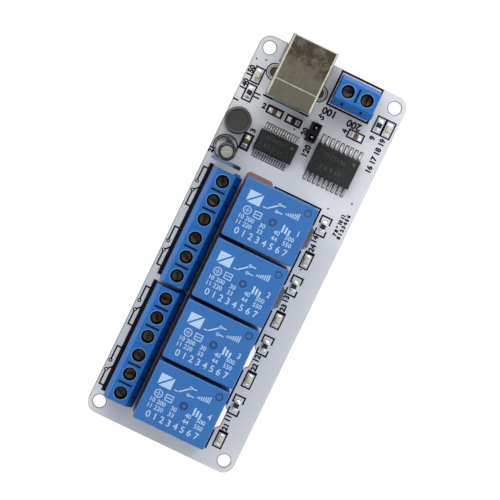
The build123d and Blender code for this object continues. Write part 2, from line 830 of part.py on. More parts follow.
socket_contact_legs = ((upper_level, contact_rows[0]), (lower_level, contact_rows[1]))


def socket_contact_planes(width):
    return [
        Plane(origin=(column_x - width / 2, 0, board_top), x_dir=(0, 1, 0), z_dir=(1, 0, 0))
        for column_x in socket_contact_columns
    ]


with BuildPart() as socket_insulator:
    core_width = socket_width - 2 * shell_thickness - 2 * insulator_fit
    core_height = socket_height - shell_thickness - insulator_fit
    core_length = socket_length - shell_thickness - insulator_fit - insulator_recess
    with BuildSketch(mouth.offset(insulator_recess)):
        with Locations((0, core_height / 2)):
            Rectangle(core_width, core_height)
    extrude(amount=core_length)
    with BuildSketch(mouth.offset(insulator_recess)):
        with BuildLine():
            Polyline(
                (-mouth_width / 2, mouth_rise),
                (mouth_width / 2, mouth_rise),
                (mouth_width / 2, mouth_rise + mouth_height - mouth_chamfer),
                (mouth_width / 2 - mouth_chamfer, mouth_rise + mouth_height),
                (-mouth_width / 2 + mouth_chamfer, mouth_rise + mouth_height),
                (-mouth_width / 2, mouth_rise + mouth_height - mouth_chamfer),
                close=True,
            )
        make_face()
    extrude(amount=mouth_depth, mode=Mode.SUBTRACT)
    with BuildSketch(mouth.offset(insulator_recess + tongue_blade_setback)):
        with Locations((0, mouth_middle)):
            Rectangle(tongue_blade_width, tongue_blade_height)
    extrude(amount=mouth_depth - tongue_blade_setback)
    channel_width = socket_contact_width + 2 * socket_contact_fit
    for level, row_y in socket_contact_legs:
        with BuildSketch(*socket_contact_planes(channel_width)):
            socket_contact_profile(level, row_y, socket_contact_fit, 0)
        extrude(amount=channel_width, mode=Mode.SUBTRACT)
socket_insulator.part.label = "socket_insulator"
export_step(socket_insulator.part, "parts/socket_insulator.step")

with BuildPart() as socket_contacts:
    for level, row_y in socket_contact_legs:
        with BuildSketch(*socket_contact_planes(socket_contact_width)):
            socket_contact_profile(level, row_y, 0, pin_bottom - board_top)
        extrude(amount=socket_contact_width)
socket_contacts.part.label = "socket_contacts"
export_step(socket_contacts.part, "parts/socket_contacts.step")

# Chips: a moulded body that narrows above and below its leads, and two rows of bent leads
chips = [
    (
        "data_chip",
        (data_chip_x, data_chip_y),
        (data_chip_width, data_chip_depth, data_chip_height),
        (data_chip_leads, data_chip_pitch, data_chip_lead_width, data_chip_span),
    ),
    (
        "driver_chip",
        (driver_chip_x, driver_chip_y),
        (driver_chip_width, driver_chip_depth, driver_chip_height),
        (driver_chip_leads, driver_chip_pitch, driver_chip_lead_width, driver_chip_span),
    ),
]
for name, (chip_x, chip_y), (width, depth, height), (leads, pitch, lead_width, span) in chips:
    chip_seat_plane = Plane((chip_x, chip_y, board_top))
    half_height = (height - chip_standoff) / 2
    middle_z = chip_standoff + half_height
    draft_angle = degrees(atan2(chip_draft, half_height))
    with BuildPart() as chip_body:
        with BuildSketch(chip_seat_plane.offset(middle_z)):
            Rectangle(width, depth)
        extrude(amount=half_height, taper=draft_angle)
        with BuildSketch(chip_seat_plane.offset(middle_z)):
            Rectangle(width, depth)
        extrude(amount=-half_height, taper=draft_angle)
        mark_inset = chip_mark_inset + chip_draft
        with BuildSketch(chip_seat_plane.offset(height)):
            with Locations((width / 2 - mark_inset, depth / 2 - mark_inset)):
                Circle(chip_mark_radius)
            if name == "driver_chip":
                with Locations((width / 2, 0)):
                    Circle(driver_chip_notch_radius)
        extrude(amount=-chip_mark_depth, mode=Mode.SUBTRACT)
    chip_body.part.label = f"{name}_body"
    export_step(chip_body.part, f"parts/{name}_body.step")

    shoulder = depth / 2 + lead_shoulder
    heel = span / 2 - lead_foot_length
    with BuildPart() as chip_leads:
        for side in (-1, 1):
            lead_planes = []
            for lead in range(leads):
                lead_x = chip_x + (lead - (leads - 1) / 2) * pitch - side * lead_width / 2
                lead_origin = (lead_x, chip_y, board_top)
                lead_planes.append(Plane(origin=lead_origin, x_dir=(0, side, 0), z_dir=(side, 0, 0)))
            with BuildSketch(*lead_planes):
                with BuildLine():
                    Polyline(
                        (depth / 2, middle_z + lead_thickness / 2),
                        (shoulder, middle_z + lead_thickness / 2),
                        (heel, lead_seat + lead_thickness),
                        (span / 2, lead_seat + lead_thickness),
                        (span / 2, lead_seat),
                        (heel - lead_thickness, lead_seat),
                        (shoulder - lead_thickness, middle_z - lead_thickness / 2),
                        (depth / 2, middle_z - lead_thickness / 2),
                        close=True,
                    )
                make_face()
            extrude(amount=lead_width)
    chip_leads.part.label = f"{name}_leads"
    export_step(chip_leads.part, f"parts/{name}_leads.step")

# Round choke: a drum core, its winding and a shrunk sleeve folded in at the top
choke_seat = Plane((choke_x, choke_y, board_top))
drum_radius = choke_radius - choke_sleeve_wall - sleeve_fit
drum_top = choke_height - choke_sleeve_wall - sleeve_fit
with BuildPart() as choke_core:
    with BuildSketch(choke_seat.offset(choke_lift)):
        Circle(drum_radius)
    extrude(amount=choke_flange_thickness)
    with BuildSketch(choke_seat.offset(choke_lift)):
        Circle(choke_neck_radius)
    extrude(amount=drum_top - choke_lift)
    with BuildSketch(choke_seat.offset(drum_top)):
        Circle(drum_radius)
    extrude(amount=-choke_flange_thickness)
choke_core.part.label = "choke_core"
export_step(choke_core.part, "parts/choke_core.step")

with BuildPart() as choke_winding:
    with BuildSketch(choke_seat.offset(choke_lift + choke_flange_thickness)):
        Circle(choke_winding_radius)
        Circle(choke_neck_radius + winding_margin, mode=Mode.SUBTRACT)
    extrude(amount=drum_top - choke_lift - 2 * choke_flange_thickness)
choke_winding.part.label = "choke_winding"
export_step(choke_winding.part, "parts/choke_winding.step")

with BuildPart() as choke_sleeve:
    with BuildSketch(choke_seat.offset(choke_lift)):
        Circle(choke_radius)
    extrude(amount=choke_height - choke_lift)
    fillet(choke_sleeve.faces().sort_by(Axis.Z)[-1].edges(), choke_sleeve_wall)
    with BuildSketch(choke_seat.offset(choke_lift)):
        Circle(choke_radius - choke_sleeve_wall)
    extrude(amount=choke_height - choke_sleeve_wall - choke_lift, mode=Mode.SUBTRACT)
    with BuildSketch(choke_seat.offset(choke_height)):
        Circle(choke_radius - choke_sleeve_lip)
    extrude(amount=-choke_sleeve_wall, mode=Mode.SUBTRACT)
choke_sleeve.part.label = "choke_sleeve"
export_step(choke_sleeve.part, "parts/choke_sleeve.step")

# Upright capacitor: an aluminium can closed by a rubber bung, in a printed sleeve
capacitor_seat = Plane(
    origin=(capacitor_x, capacitor_y, board_top + capacitor_lift),
    z_dir=(capacitor_lean_x, capacitor_lean_y, capacitor_height),
)
can_radius = capacitor_radius - capacitor_sleeve_wall - sleeve_fit
can_top = capacitor_height - capacitor_sleeve_wall - sleeve_fit
with BuildPart() as capacitor_can:
    with BuildSketch(capacitor_seat):
        Circle(can_radius)
    extrude(amount=can_top)
    fillet(capacitor_can.faces().sort_by(Axis.Z)[-1].edges(), capacitor_edge_radius)
    with BuildSketch(capacitor_seat):
        Circle(can_radius - capacitor_can_wall)
    extrude(amount=bung_height, mode=Mode.SUBTRACT)
    with BuildSketch(capacitor_seat.offset(bung_height + capacitor_groove_width)):
        Circle(can_radius)
        Circle(can_radius - capacitor_groove_depth, mode=Mode.SUBTRACT)
    extrude(amount=capacitor_groove_width, mode=Mode.SUBTRACT)
capacitor_can.part.label = "capacitor_can"
export_step(capacitor_can.part, "parts/capacitor_can.step")

with BuildPart() as capacitor_sleeve:
    with BuildSketch(capacitor_seat):
        Circle(capacitor_radius)
        Circle(capacitor_radius - capacitor_sleeve_wall, mode=Mode.SUBTRACT)
    extrude(amount=capacitor_height)
    with BuildSketch(capacitor_seat.offset(capacitor_height)):
        Circle(capacitor_radius)
        Circle(capacitor_radius - capacitor_sleeve_lip, mode=Mode.SUBTRACT)
    extrude(amount=-capacitor_sleeve_wall)
capacitor_sleeve.part.label = "capacitor_sleeve"
export_step(capacitor_sleeve.part, "parts/capacitor_sleeve.step")

with BuildPart() as capacitor_bung:
    with BuildSketch(capacitor_seat):
        Circle(can_radius - capacitor_can_wall - bung_fit)
    extrude(amount=bung_height)
capacitor_bung.part.label = "capacitor_bung"
export_step(capacitor_bung.part, "parts/capacitor_bung.step")

# Round leads of the choke and the capacitor
with BuildPart() as round_leads:
    with BuildSketch(Plane.XY.offset(pin_bottom)):
        for pin_x, pin_y in round_pins:
            with Locations((pin_x, pin_y)):
                Circle(lead_radius)
    extrude(amount=board_top + choke_lift - pin_bottom)
round_leads.part.label = "round_leads"
export_step(round_leads.part, "parts/round_leads.step")

# Jumper posts, their base and the jumper that bridges them
post_seat = Plane((post_x, post_y, board_top))
post_spots = [(0, row_y - post_y) for row_y in post_rows]
with BuildPart() as post_base:
    with BuildSketch(post_seat):
        Rectangle(post_base_width, post_count * post_pitch)
        with Locations(*post_spots):
            Rectangle(post_side, post_side, mode=Mode.SUBTRACT)
    extrude(amount=post_base_height)
post_base.part.label = "post_base"
export_step(post_base.part, "parts/post_base.step")

with BuildPart() as posts:
    with BuildSketch(post_seat.offset(pin_bottom - board_top)):
        with Locations(*post_spots):
            Rectangle(post_side, post_side)
    extrude(amount=board_top + post_length - pin_bottom)
    chamfer(posts.faces().filter_by(Axis.Z).group_by(Axis.Z)[-1].edges(), post_tip)
posts.part.label = "posts"
export_step(posts.part, "parts/posts.step")

jumper_bottom = post_base_height + jumper_gap
clip_bottom = jumper_bottom + clip_inset
clip_x = post_side / 2 + clip_thickness / 2
clip_length = (post_count - 1) * post_pitch + post_side
with BuildPart() as jumper_clip:
    with BuildSketch(post_seat.offset(clip_bottom)):
        with Locations((clip_x, 0)):
            Rectangle(clip_thickness, clip_length)
    extrude(amount=clip_height)
jumper_clip.part.label = "jumper_clip"
export_step(jumper_clip.part, "parts/jumper_clip.step")

with BuildPart() as jumper_cap:
    with BuildSketch(post_seat.offset(jumper_bottom)):
        RectangleRounded(jumper_width, jumper_length, jumper_corner_radius)
    extrude(amount=jumper_height)
    with BuildSketch(post_seat.offset(jumper_bottom)):
        with Locations(*post_spots):
            Rectangle(jumper_bore, jumper_bore)
    extrude(amount=jumper_height, mode=Mode.SUBTRACT)
    with BuildSketch(post_seat.offset(jumper_bottom)):
        with Locations((clip_x, 0)):
            Rectangle(clip_thickness + 2 * seat_clearance, clip_length)
    extrude(amount=clip_inset + clip_height + seat_clearance, mode=Mode.SUBTRACT)
jumper_cap.part.label = "jumper_cap"
export_step(jumper_cap.part, "parts/jumper_cap.step")

# Small surface parts: place and direction (0 along X, 90 along Y)
relay_light_x = relay_x + relay_length / 2 + relay_light_gap
power_light_y = board_far - power_light_drop
data_light_x = board_left + data_light_inset
resistor_places = [(relay_light_x, row_y + relay_resistor_rise, direction_y) for row_y in relay_rows]
resistor_places.append((power_resistor_x, power_light_y, direction_y))
resistor_places.append((data_light_x, data_resistor_y, direction_y))
resistor_places.append((data_chip_x + row_resistor_shift, row_part_y, direction_x))
capacitor_places = [
    (data_chip_x - row_capacitor_shift, row_part_y, direction_x),
    (side_capacitor_x, data_chip_y - side_capacitor_drop, direction_y),
    (driver_chip_x + driver_capacitor_shift, driver_capacitor_y, direction_x),
]
light_places = [(relay_light_x, row_y - relay_light_drop, direction_y) for row_y in relay_rows]
light_places.append((board_right - power_light_inset, power_light_y, direction_y))
light_places.append((data_light_x, data_light_y, direction_y))


def chip_part_plane(place):
    part_x, part_y, turn = place
    direction = (cos(radians(turn)), sin(radians(turn)), 0)
    return Plane(origin=(part_x, part_y, board_top + chip_seat), x_dir=direction, z_dir=(0, 0, 1))


chip_part_body = chip_part_length - 2 * end_cap_length
with BuildPart() as chip_resistors:
    with BuildSketch(*[chip_part_plane(place) for place in resistor_places]):
        Rectangle(chip_part_body, chip_part_width)
    extrude(amount=resistor_thickness)
chip_resistors.part.label = "chip_resistors"
export_step(chip_resistors.part, "parts/chip_resistors.step")

with BuildPart() as chip_capacitors:
    with BuildSketch(*[chip_part_plane(place) for place in capacitor_places]):
        Rectangle(chip_part_body, chip_part_width)
    extrude(amount=small_capacitor_thickness)
chip_capacitors.part.label = "chip_capacitors"
export_step(chip_capacitors.part, "parts/chip_capacitors.step")

with BuildPart() as end_caps:
    for places, thickness in (
        (resistor_places, resistor_thickness),
        (capacitor_places, small_capacitor_thickness),
    ):
        with BuildSketch(*[chip_part_plane(place) for place in places]):
            with GridLocations(chip_part_body + end_cap_length, chip_part_width, 2, 1):
                Rectangle(end_cap_length, chip_part_width + 2 * end_cap_proud)
        extrude(amount=thickness + end_cap_proud)
end_caps.part.label = "end_caps"
export_step(end_caps.part, "parts/end_caps.step")

with BuildPart() as light_bases:
    with BuildSketch(*[chip_part_plane(place) for place in light_places]):
        Rectangle(chip_part_length, chip_part_width)
    extrude(amount=led_base_thickness)
light_bases.part.label = "light_bases"
export_step(light_bases.part, "parts/light_bases.step")

with BuildPart() as light_lenses:
    with BuildSketch(*[chip_part_plane(place).offset(led_base_thickness) for place in light_places]):
        Rectangle(led_lens_length, chip_part_width)
    extrude(amount=led_lens_height, taper=led_lens_taper)
light_lenses.part.label = "light_lenses"
export_step(light_lenses.part, "parts/light_lenses.step")
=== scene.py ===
import json
import math
import bmesh
import bpy
import numpy as np
from mathutils import Matrix, Vector

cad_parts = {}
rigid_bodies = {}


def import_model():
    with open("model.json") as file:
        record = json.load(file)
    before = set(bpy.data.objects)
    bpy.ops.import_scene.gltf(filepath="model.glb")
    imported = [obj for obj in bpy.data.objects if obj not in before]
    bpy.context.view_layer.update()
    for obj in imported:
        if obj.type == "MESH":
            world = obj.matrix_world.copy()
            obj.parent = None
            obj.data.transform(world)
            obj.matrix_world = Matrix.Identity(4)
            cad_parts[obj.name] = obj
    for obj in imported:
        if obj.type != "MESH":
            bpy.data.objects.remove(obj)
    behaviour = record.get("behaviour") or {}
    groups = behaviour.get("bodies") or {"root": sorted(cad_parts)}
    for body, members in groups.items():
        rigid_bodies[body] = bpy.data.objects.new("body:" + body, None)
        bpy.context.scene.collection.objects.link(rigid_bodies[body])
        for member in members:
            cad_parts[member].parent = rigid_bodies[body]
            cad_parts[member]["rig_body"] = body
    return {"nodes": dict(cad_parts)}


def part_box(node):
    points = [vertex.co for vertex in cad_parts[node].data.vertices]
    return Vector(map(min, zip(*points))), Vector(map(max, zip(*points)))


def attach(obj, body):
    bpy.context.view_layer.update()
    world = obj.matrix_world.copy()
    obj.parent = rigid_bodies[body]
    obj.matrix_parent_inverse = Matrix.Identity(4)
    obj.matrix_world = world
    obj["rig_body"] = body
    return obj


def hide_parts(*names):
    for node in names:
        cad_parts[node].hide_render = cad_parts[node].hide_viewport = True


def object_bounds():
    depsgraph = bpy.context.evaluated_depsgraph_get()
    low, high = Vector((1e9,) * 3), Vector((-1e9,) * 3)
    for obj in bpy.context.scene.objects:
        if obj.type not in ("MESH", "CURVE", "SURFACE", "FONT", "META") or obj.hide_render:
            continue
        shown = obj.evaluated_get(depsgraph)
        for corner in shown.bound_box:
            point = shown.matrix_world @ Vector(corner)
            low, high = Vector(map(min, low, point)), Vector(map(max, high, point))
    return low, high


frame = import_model()
cadLow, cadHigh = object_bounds()
mm = 0.001
print("frame loaded:", len(frame["nodes"]), "nodes")


def boxOf(node):
    # lowest and highest corner of a CAD node in millimetres
    low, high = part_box(node)
    return np.array(low) / mm, np.array(high) / mm


boardLow, boardHigh = boxOf("circuit_board")
boardTop = boardHigh[2]
relayBoxes = [boxOf(f"relay_case_{number}") for number in range(1, 5)]
relayMiddles = [(low + high) / 2 for low, high in relayBoxes]


# Shader nodes

def wire(tree, source, target):
    tree.links.new(source, target)


def feed(tree, socket, value):
    # a socket takes another node's output, a colour or a number
    if isinstance(value, bpy.types.NodeSocket):
        wire(tree, value, socket)
    elif isinstance(value, tuple):
        socket.default_value = (*value, 1.0)
    else:
        socket.default_value = value


def mathNode(tree, operation, first, second=None, clamp=False):
    node = tree.nodes.new("ShaderNodeMath")
    node.operation = operation
    node.use_clamp = clamp
    feed(tree, node.inputs[0], first)
    if second is not None:
        feed(tree, node.inputs[1], second)
    return node.outputs[0]


def swingOf(tree, noise, reach):
    # a noise about its own middle, times a reach
    return mathNode(tree, "MULTIPLY", mathNode(tree, "SUBTRACT", noise, 0.5), reach)


def noiseNode(tree, place, scale, detail=3.0, rough=0.55):
    node = tree.nodes.new("ShaderNodeTexNoise")
    node.inputs["Detail"].default_value = detail
    node.inputs["Roughness"].default_value = rough
    wire(tree, place, node.inputs["Vector"])
    feed(tree, node.inputs["Scale"], scale)
    return node.outputs["Fac"]


def stretched(tree, place, scale):
    node = tree.nodes.new("ShaderNodeMapping")
    node.inputs["Scale"].default_value = scale
    wire(tree, place, node.inputs["Vector"])
    return node.outputs["Vector"]


def axesOf(tree, vector):
    node = tree.nodes.new("ShaderNodeSeparateXYZ")
    wire(tree, vector, node.inputs[0])
    return node.outputs


def rampNode(tree, value, start, end, least=0.0, most=1.0):
    # least at start and before it, most at end and after it
    node = tree.nodes.new("ShaderNodeMapRange")
    for title, number in (("From Min", start), ("From Max", end), ("To Min", least), ("To Max", most)):
        node.inputs[title].default_value = number
    wire(tree, value, node.inputs["Value"])
    return node


def mixColours(tree, factor, first, second):
    node = tree.nodes.new("ShaderNodeMix")
    node.data_type = "RGBA"
    for title, value in (("Factor", factor), ("A", first), ("B", second)):
        feed(tree, node.inputs[title], value)
    return node.outputs["Result"]


def shadeColour(tree, colour, amount):
    # colour times a grey of the given amount
    node = tree.nodes.new("ShaderNodeVectorMath")
    node.operation = "SCALE"
    wire(tree, colour, node.inputs[0])
    wire(tree, amount, node.inputs["Scale"])
    return node.outputs[0]


# Shader groups

finishLook = {
    "broadShare": 0.06,
    "streakStretch": (6000.0, 350.0, 6000.0),
    "cloudSwing": 2.2,
    "spotShare": 7.0,
    "spotSwing": 0.9,
    "streakShade": 0.18,
    "streakRough": 0.12,
    "tarnishRough": 0.2,
    "dustScale": 220.0,
    "dustColour": (0.62, 0.61, 0.58),
    "plasticBump": 0.5,
    "metalBump": 0.4,
    "coatRough": 0.2,
}
midGrey = (0.5, 0.5, 0.5, 1)


def newGroup(name, inputs, outputs):
    # a socket's kind follows from its title: a vector, a colour or, for all others, a number
    kinds = {"Place": "NodeSocketVector", "Colour": "NodeSocketColor", "Tarnish": "NodeSocketColor"}
    group = bpy.data.node_groups.new(name, "ShaderNodeTree")
    for title, value in inputs.items():
        kind = kinds.get(title, "NodeSocketFloat")
        socket = group.interface.new_socket(title, in_out="INPUT", socket_type=kind)
        if value is not None:
            socket.default_value = value
    for title in outputs:
        kind = kinds.get(title, "NodeSocketFloat")
        group.interface.new_socket(title, in_out="OUTPUT", socket_type=kind)
    entry = group.nodes.new("NodeGroupInput")
    leave = group.nodes.new("NodeGroupOutput")
    return group, entry.outputs, leave.inputs


def buildMouldedGrain():
    # fine spark-eroded grain: a shade near one, a roughness and a height from two noises
    group, entry, leave = newGroup(
        "moulded grain",
        {"Place": None, "Colour": midGrey, "Scale": 3000.0, "Mottle": 0.06, "Rough": 0.4,
         "Rough Spread": 0.1},
        ("Colour", "Rough", "Height"))
    fine = noiseNode(group, entry["Place"], entry["Scale"], 2.0)
    broadScale = mathNode(group, "MULTIPLY", entry["Scale"], finishLook["broadShare"])
    broad = noiseNode(group, entry["Place"], broadScale, 4.0)
    both = mathNode(group, "SUBTRACT", mathNode(group, "ADD", fine, broad), 1.0)
    shade = mathNode(group, "ADD", mathNode(group, "MULTIPLY", both, entry["Mottle"]), 1.0)
    wire(group, shadeColour(group, entry["Colour"], shade), leave["Colour"])
    spread = swingOf(group, broad, entry["Rough Spread"])
    wire(group, mathNode(group, "ADD", entry["Rough"], spread, True), leave["Rough"])
    wire(group, fine, leave["Height"])
    return group


def buildRolledMetal():
    # rolled or drawn metal: long streaks across the given place, and cloudy tarnish over them
    group, entry, leave = newGroup(
        "rolled metal",
        {"Place": None, "Colour": midGrey, "Tarnish": (0.2, 0.18, 0.15, 1), "Tarnished": 0.3,
         "Cloud Scale": 400.0, "Rough": 0.35},
        ("Colour", "Rough", "Height"))
    streak = noiseNode(group, stretched(group, entry["Place"], finishLook["streakStretch"]), 1.0, 2.0)
    cloud = noiseNode(group, entry["Place"], entry["Cloud Scale"], 5.0, 0.6)
    spotScale = mathNode(group, "MULTIPLY", entry["Cloud Scale"], finishLook["spotShare"])
    spot = noiseNode(group, entry["Place"], spotScale, 3.0)
    mask = mathNode(group, "ADD", swingOf(group, cloud, finishLook["cloudSwing"]),
                    swingOf(group, spot, finishLook["spotSwing"]))
    mask = mathNode(group, "ADD", mask, entry["Tarnished"], True)
    stained = mixColours(group, mask, entry["Colour"], entry["Tarnish"])
    shade = mathNode(group, "ADD", swingOf(group, streak, finishLook["streakShade"]), 1.0)
    wire(group, shadeColour(group, stained, shade), leave["Colour"])
    dulled = mathNode(group, "MULTIPLY", mask, finishLook["tarnishRough"])
    rough = mathNode(group, "ADD", entry["Rough"], dulled)
    rough = mathNode(group, "ADD", rough, swingOf(group, streak, finishLook["streakRough"]), True)
    wire(group, rough, leave["Rough"])
    wire(group, streak, leave["Height"])
    return group


def buildDustFilm():
    # a thin film that settles on faces that look up: more where a noise is high
    group, entry, leave = newGroup(
        "dust film", {"Place": None, "Colour": midGrey, "Rough": 0.4, "Amount": 0.1}, ("Colour", "Rough"))
    normal = group.nodes.new("ShaderNodeNewGeometry").outputs["Normal"]
    up = mathNode(group, "MAXIMUM", axesOf(group, normal)["Z"], 0.0)
    cloud = noiseNode(group, entry["Place"], finishLook["dustScale"], 6.0, 0.65)
    mask = mathNode(group, "MULTIPLY", mathNode(group, "MULTIPLY", up, cloud), entry["Amount"], True)
    wire(group, mixColours(group, mask, entry["Colour"], finishLook["dustColour"]), leave["Colour"])
    wire(group, mathNode(group, "ADD", entry["Rough"], mask, True), leave["Rough"])
    return group


mouldedGrain = buildMouldedGrain()
rolledMetal = buildRolledMetal()
dustFilm = buildDustFilm()


# Finishes

def emptyMaterial(name):
    # a material with a bare shader, and the object's own coordinates as the place of its patterns
    material = bpy.data.materials.new(name)
    material.use_nodes = True
    tree = material.node_tree
    tree.nodes.clear()
    leave = tree.nodes.new("ShaderNodeOutputMaterial")
    shader = tree.nodes.new("ShaderNodeBsdfPrincipled")
    wire(tree, shader.outputs[0], leave.inputs["Surface"])
    place = tree.nodes.new("ShaderNodeTexCoord").outputs["Object"]
    return material, tree, shader, place


def addBump(tree, shader, height, strength, distance):
    # distance in millimetres
    bump = tree.nodes.new("ShaderNodeBump")
    bump.inputs["Strength"].default_value = strength
    bump.inputs["Distance"].default_value = distance * mm
    wire(tree, height, bump.inputs["Height"])
    wire(tree, bump.outputs["Normal"], shader.inputs["Normal"])


def useGroup(tree, group, place, **values):
    # a shared group with this material's own values; an underscore stands for the space in a title
    node = tree.nodes.new("ShaderNodeGroup")
    node.node_tree = group
    wire(tree, place, node.inputs["Place"])
    for title, value in values.items():
        feed(tree, node.inputs[title.replace("_", " ")], value)
    return node.outputs


def settleDust(tree, shader, place, colour, rough, amount):
    # the last layer of every finish, on which its colour and roughness reach the shader
    film = useGroup(tree, dustFilm, place, Colour=colour, Rough=rough, Amount=amount)
    wire(tree, film["Colour"], shader.inputs["Base Color"])
    wire(tree, film["Rough"], shader.inputs["Roughness"])


def plastic(name, colour, rough=0.4, scale=3500.0, mottle=0.06, bump=0.004, dust=0.08, coat=0.0, spread=0.12,
            shine=0.5):
    # moulded plastic, print or bare laminate: grain under dust
    material, tree, shader, place = emptyMaterial(name)
    grain = useGroup(tree, mouldedGrain, place, Colour=colour, Scale=scale, Mottle=mottle, Rough=rough,
                     Rough_Spread=spread)
    settleDust(tree, shader, place, grain["Colour"], grain["Rough"], dust)
    addBump(tree, shader, grain["Height"], finishLook["plasticBump"], bump)
    shader.inputs["Specular IOR Level"].default_value = shine
    shader.inputs["Coat Weight"].default_value = coat
    shader.inputs["Coat Roughness"].default_value = finishLook["coatRough"]
    return material


def metal(name, colour, tarnish, tarnished=0.25, clouds=400.0, rough=0.3, bump=0.003, dust=0.04):
    # rolled, drawn or tinned metal: streaks and tarnish under dust
    material, tree, shader, place = emptyMaterial(name)
    skin = useGroup(tree, rolledMetal, place, Colour=colour, Tarnish=tarnish, Tarnished=tarnished,
                    Cloud_Scale=clouds, Rough=rough)
    settleDust(tree, shader, place, skin["Colour"], skin["Rough"], dust)
    addBump(tree, shader, skin["Height"], finishLook["metalBump"], bump)
    shader.inputs["Metallic"].default_value = 1.0
    return material


laminateLook = {
    "coat": (0.475, 0.49, 0.52),
    "coatGrain": 1400.0,
    "mottle": 0.07,
    "rough": 0.45,
    "roughSpread": 0.15,
    "bumpStrength": 0.3,
    "bumpDepth": 0.006,
    "weave": (900.0, 900.0, 9000.0),
    "darkGlass": (0.42, 0.37, 0.28),
    "paleGlass": (0.62, 0.58, 0.48),
    "edgeLimit": 0.35,
    "dust": 0.04,
}


def coatedLaminate():
    # satin pale coat on the two faces, bare glass-fibre laminate on the cut edges
    material, tree, shader, place = emptyMaterial("coated laminate")
    coat = useGroup(tree, mouldedGrain, place, Colour=laminateLook["coat"], Scale=laminateLook["coatGrain"],
                    Mottle=laminateLook["mottle"], Rough=laminateLook["rough"],
                    Rough_Spread=laminateLook["roughSpread"])
    layers = noiseNode(tree, stretched(tree, place, laminateLook["weave"]), 1.0, 3.0)
    edge = mixColours(tree, layers, laminateLook["darkGlass"], laminateLook["paleGlass"])
    normal = tree.nodes.new("ShaderNodeNewGeometry").outputs["Normal"]
    upright = mathNode(tree, "ABSOLUTE", axesOf(tree, normal)["Z"])
    flat = mathNode(tree, "GREATER_THAN", upright, laminateLook["edgeLimit"])
    colour = mixColours(tree, flat, edge, coat["Colour"])
    settleDust(tree, shader, place, colour, coat["Rough"], laminateLook["dust"])
    addBump(tree, shader, coat["Height"], laminateLook["bumpStrength"], laminateLook["bumpDepth"])
    return material


